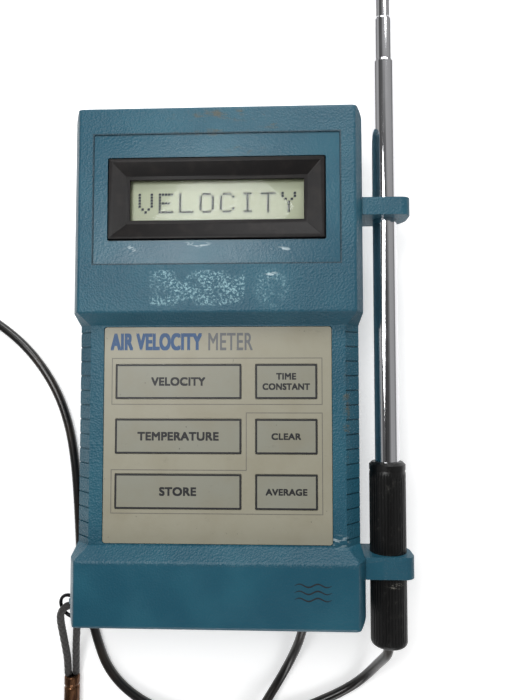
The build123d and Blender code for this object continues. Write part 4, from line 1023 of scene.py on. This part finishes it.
class METER_OT_display(bpy.types.Operator):
    """Frame the display and set its dots"""

    bl_idname = "meter.display"
    bl_label = "Display"

    def execute(self, context):
        look = context.scene.meter_display
        soft_edged("lcd_bezel", 0.22 * MM)
        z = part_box("lcd_glass")[1].z
        low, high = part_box("lcd_window")
        centre = np.array([(low.x + high.x) / 2, (low.y + high.y) / 2]) + WORD_SHIFT
        spots = self.dot_places(look) + centre
        # Painted shadows: darker squares just under the dots, shifted down and left, stand for the shadows
        # the dots cast
        self.dots("display_shade", spots + DOT_SHADOW_SHIFT, look.dot, z + 0.05 * MM, "dot_shade")
        self.dots("display_dots", spots, look.dot, z + 0.2 * MM, "dot_dark")
        return {"FINISHED"}

    def dot_places(self, look):
        """Each dark dot's centre: its column and row times the dot pitches, from its letter's place."""
        spots = []
        for index, letter in enumerate(look.word):
            rows = np.array([[int(x) for x in row] for row in DOT_LETTERS[letter].split()])
            row, column = np.nonzero(rows)
            x = (index - (len(look.word) - 1) / 2) * look.letter_pitch + (column - 2) * look.dot_pitch
            spots.append(np.column_stack([x, (3 - row) * look.row_pitch]))
        return np.concatenate(spots)

    def dots(self, name, places, size, z, finish_name):
        """Flat squares at the places given."""
        square = rectangle((-size / 2, -size / 2), (size / 2, size / 2))
        flat = (places[:, None] + square).reshape(-1, 2)
        points = np.column_stack([flat, np.full(len(flat), z)])
        piece_from(name, points, np.arange(len(flat)).reshape(-1, 4), finish_name, "meter")


PRINT_LIFT = 0.02 * MM
HEADING_DOWN, HEADING_CAP = 5.4 * MM, 6.4 * MM
# Each half of the heading: its width, middle and boldness in millimetres
HEADING = (
    ("heading_air", "AIR VELOCITY", 34.0, -22.6, "print_blue", 0.3),
    ("heading_meter", "METER", 16.4, 4.9, "print_grey", 0.1),
)
# Keys wider than this take the larger print; a letter's width and boldness in millimetres
WIDE_KEY, LINE_GAP, THIN_LETTER = 30 * MM, 3.75 * MM, 0.62
WIDE_LETTER, SMALL_LETTER = (2.72, 0.17), (2.16, 0.13)


class METER_OT_keypad(bpy.types.Operator):
    """Print the keypad's rules, heading and keys"""

    bl_idname = "meter.keypad"
    bl_label = "Keypad"

    def execute(self, context):
        look = context.scene.meter_keypad
        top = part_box("keypad_overlay")[1]
        self.rules(look, top.z + PRINT_LIFT)
        self.heading(top.y - HEADING_DOWN, top.z + PRINT_LIFT)
        for name, words in KEY_WORDS.items():
            self.key(look, name, words)
        return {"FINISHED"}

    def rules(self, look, z):
        """Two thin outlines: one round the top row, one stepped round the lower keys."""
        boxes = {name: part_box("key_" + name) for name in KEY_WORDS}
        left, right = boxes["velocity"][0].x - 1.6 * MM, boxes["clear"][1].x + 2.0 * MM
        step = (boxes["temperature"][1].x + boxes["clear"][0].x) / 2 - 0.9 * MM
        up, down, to_step = 8.7 * MM, 8.5 * MM, 12.1 * MM
        top, middle, last = (
            (boxes[name][0].y + boxes[name][1].y) / 2 for name in ("velocity", "temperature", "store")
        )
        bottom = last - down + 0.4 * MM
        upper = rectangle((left, top - down), (right, top + up))
        stepped = [(left, bottom), (right, bottom), (right, middle + up)]
        stepped += [(step, middle + up), (step, middle - to_step), (left, middle - to_step)]
        pairs = [(outline, inset_outline(outline, look.rule)) for outline in (upper, np.array(stepped))]
        flat_outline("keypad_rules", pairs, z, "print_rule", "meter")

    def heading(self, y, z):
        """A plain printed heading over the keys."""
        for name, text, width, x, finish_name, boldness in HEADING:
            at = (x * MM, y, z)
            lettering(name, text, HEADING_CAP, width * MM, at, finish_name, "meter", boldness * MM)

    def key(self, look, name, words):
        """A key's border and its words, which ride on the key."""
        low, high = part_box("key_" + name)
        body = "key_" + name
        z = high.z + PRINT_LIFT
        outer = rectangle(low, high, PRINT_LIFT)
        inner = rectangle(low, high, look.border)
        flat_outline("border_" + name, [(outer, inner)], z, "print_dark", body)
        middle = ((low.x + high.x) / 2, (low.y + high.y) / 2)
        wide = high.x - low.x > WIDE_KEY
        cap = look.wide_cap if wide else look.small_cap
        letter, boldness = WIDE_LETTER if wide else SMALL_LETTER
        for row, word in enumerate(words):
            y = middle[1] + ((len(words) - 1) / 2 - row) * LINE_GAP
            spread = (len(word) - word.count("I") * THIN_LETTER) * letter * MM
            at = (middle[0], y, z)
            lettering(f"word_{word.lower()}", word, cap, spread, at, "print_dark", body, boldness * MM)


COLUMNS_PER_FLUTE = 8
HANDLE_END, HANDLE_MOUTH, HANDLE_WALL = 1.6 * MM, 2.5 * MM, 1.1 * MM
# Up the handle past its rounded end: share of its length, share of the flutes' depth, millimetres in
HANDLE_PROFILE = (
    (0.035, 0.5, 0), (0.05, 1, 0), (0.5, 1, 0), (0.955, 1, 0),
    (0.972, 0.6, 0), (0.985, 0, 0.05), (1, 0, 0.3), (1, 0, 0),
)


class METER_OT_probe(bpy.types.Operator):
    """Flute the probe's handle"""

    bl_idname = "meter.probe"
    bl_label = "Probe"

    def execute(self, context):
        look = context.scene.meter_probe
        low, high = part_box("handle_sleeve")
        low.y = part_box("handle_cap")[0].y
        centre = ((low.x + high.x) / 2, (low.z + high.z) / 2)
        outer = (high.x - low.x) / 2
        columns = look.flutes * COLUMNS_PER_FLUTE
        turn = np.linspace(0, 2 * math.pi, columns, endpoint=False)
        run = high.y - low.y
        rounding = np.radians(np.arange(0, 91, 15))
        share, deep, drawn_in = np.array(HANDLE_PROFILE).T
        y = low.y + run * np.concatenate([[0], HANDLE_END * (1 - np.cos(rounding)) / run, share])
        fade = np.concatenate([np.zeros(1 + len(rounding)), deep])
        soft = np.concatenate([[0], HANDLE_END * (1 - np.sin(rounding)), drawn_in * MM])
        bore = np.zeros(len(y))
        bore[0], bore[-1] = HANDLE_MOUTH / MM, outer / MM - HANDLE_WALL / MM
        groove = np.clip(np.cos(look.flutes * turn) * 1.4 - 0.2, 0, 1)
        skin = outer - soft[:, None] - look.flute_depth * fade[:, None] * groove[None]
        radius = np.where(bore[:, None] > 0, bore[:, None] * MM, skin)
        points = np.stack(
            [
                centre[0] + radius * np.sin(turn),
                np.repeat(y[:, None], columns, 1),
                centre[1] + radius * np.cos(turn),
            ],
            -1,
        )
        faces = grid_faces(len(y), columns, True)
        made = piece_from("handle_fluted", points, faces, "handle_black", "meter", 50)
        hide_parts("handle_sleeve", "handle_cap")
        return {"FINISHED"}


class METER_PT_panel(bpy.types.Panel):
    """The meter's pieces and settings in the 3D view's sidebar"""

    bl_idname = "METER_PT_panel"
    bl_label = "Meter"
    bl_space_type = "VIEW_3D"
    bl_region_type = "UI"
    bl_category = "Meter"

    def draw(self, context):
        scene = context.scene
        for settings, _ in SETTINGS:
            box = self.layout.box()
            group = getattr(scene, settings)
            for name in group.__annotations__:
                box.prop(group, name)
        for operator in OPERATORS:
            self.layout.operator(operator.bl_idname)


SETTINGS = (
    ("meter_case", MeterCaseSettings),
    ("meter_display", MeterDisplaySettings),
    ("meter_keypad", MeterKeypadSettings),
    ("meter_probe", MeterProbeSettings),
    ("meter_cord", MeterCordSettings),
    ("meter_stage", MeterStageSettings),
)


class METER_OT_finishes(bpy.types.Operator):
    """Mix the meter's materials and lay them on its pieces"""

    bl_idname = "meter.finishes"
    bl_label = "Finishes"

    def execute(self, context):
        make_finishes(context.scene)
        return {"FINISHED"}


OPERATORS = (
    METER_OT_stage,
    METER_OT_finishes,
    METER_OT_cable,
    METER_OT_lanyard,
    METER_OT_case,
    METER_OT_display,
    METER_OT_keypad,
    METER_OT_probe,
)


def register():
    """Registers the settings, the operators and the panel."""
    for name, group in SETTINGS:
        bpy.utils.register_class(group)
        setattr(bpy.types.Scene, name, bpy.props.PointerProperty(type=group))
    for operator in OPERATORS:
        bpy.utils.register_class(operator)
    bpy.utils.register_class(METER_PT_panel)


def unregister():
    """Takes them away again."""
    bpy.utils.unregister_class(METER_PT_panel)
    for operator in reversed(OPERATORS):
        bpy.utils.unregister_class(operator)
    for name, group in reversed(SETTINGS):
        delattr(bpy.types.Scene, name)
        bpy.utils.unregister_class(group)


def main():
    register()
    bpy.ops.meter.stage()
    bpy.ops.meter.finishes()
    bpy.ops.meter.cable()
    bpy.ops.meter.lanyard()
    bpy.ops.meter.case()
    bpy.ops.meter.display()
    bpy.ops.meter.keypad()
    bpy.ops.meter.probe()


if __name__ == "__main__":
    main()
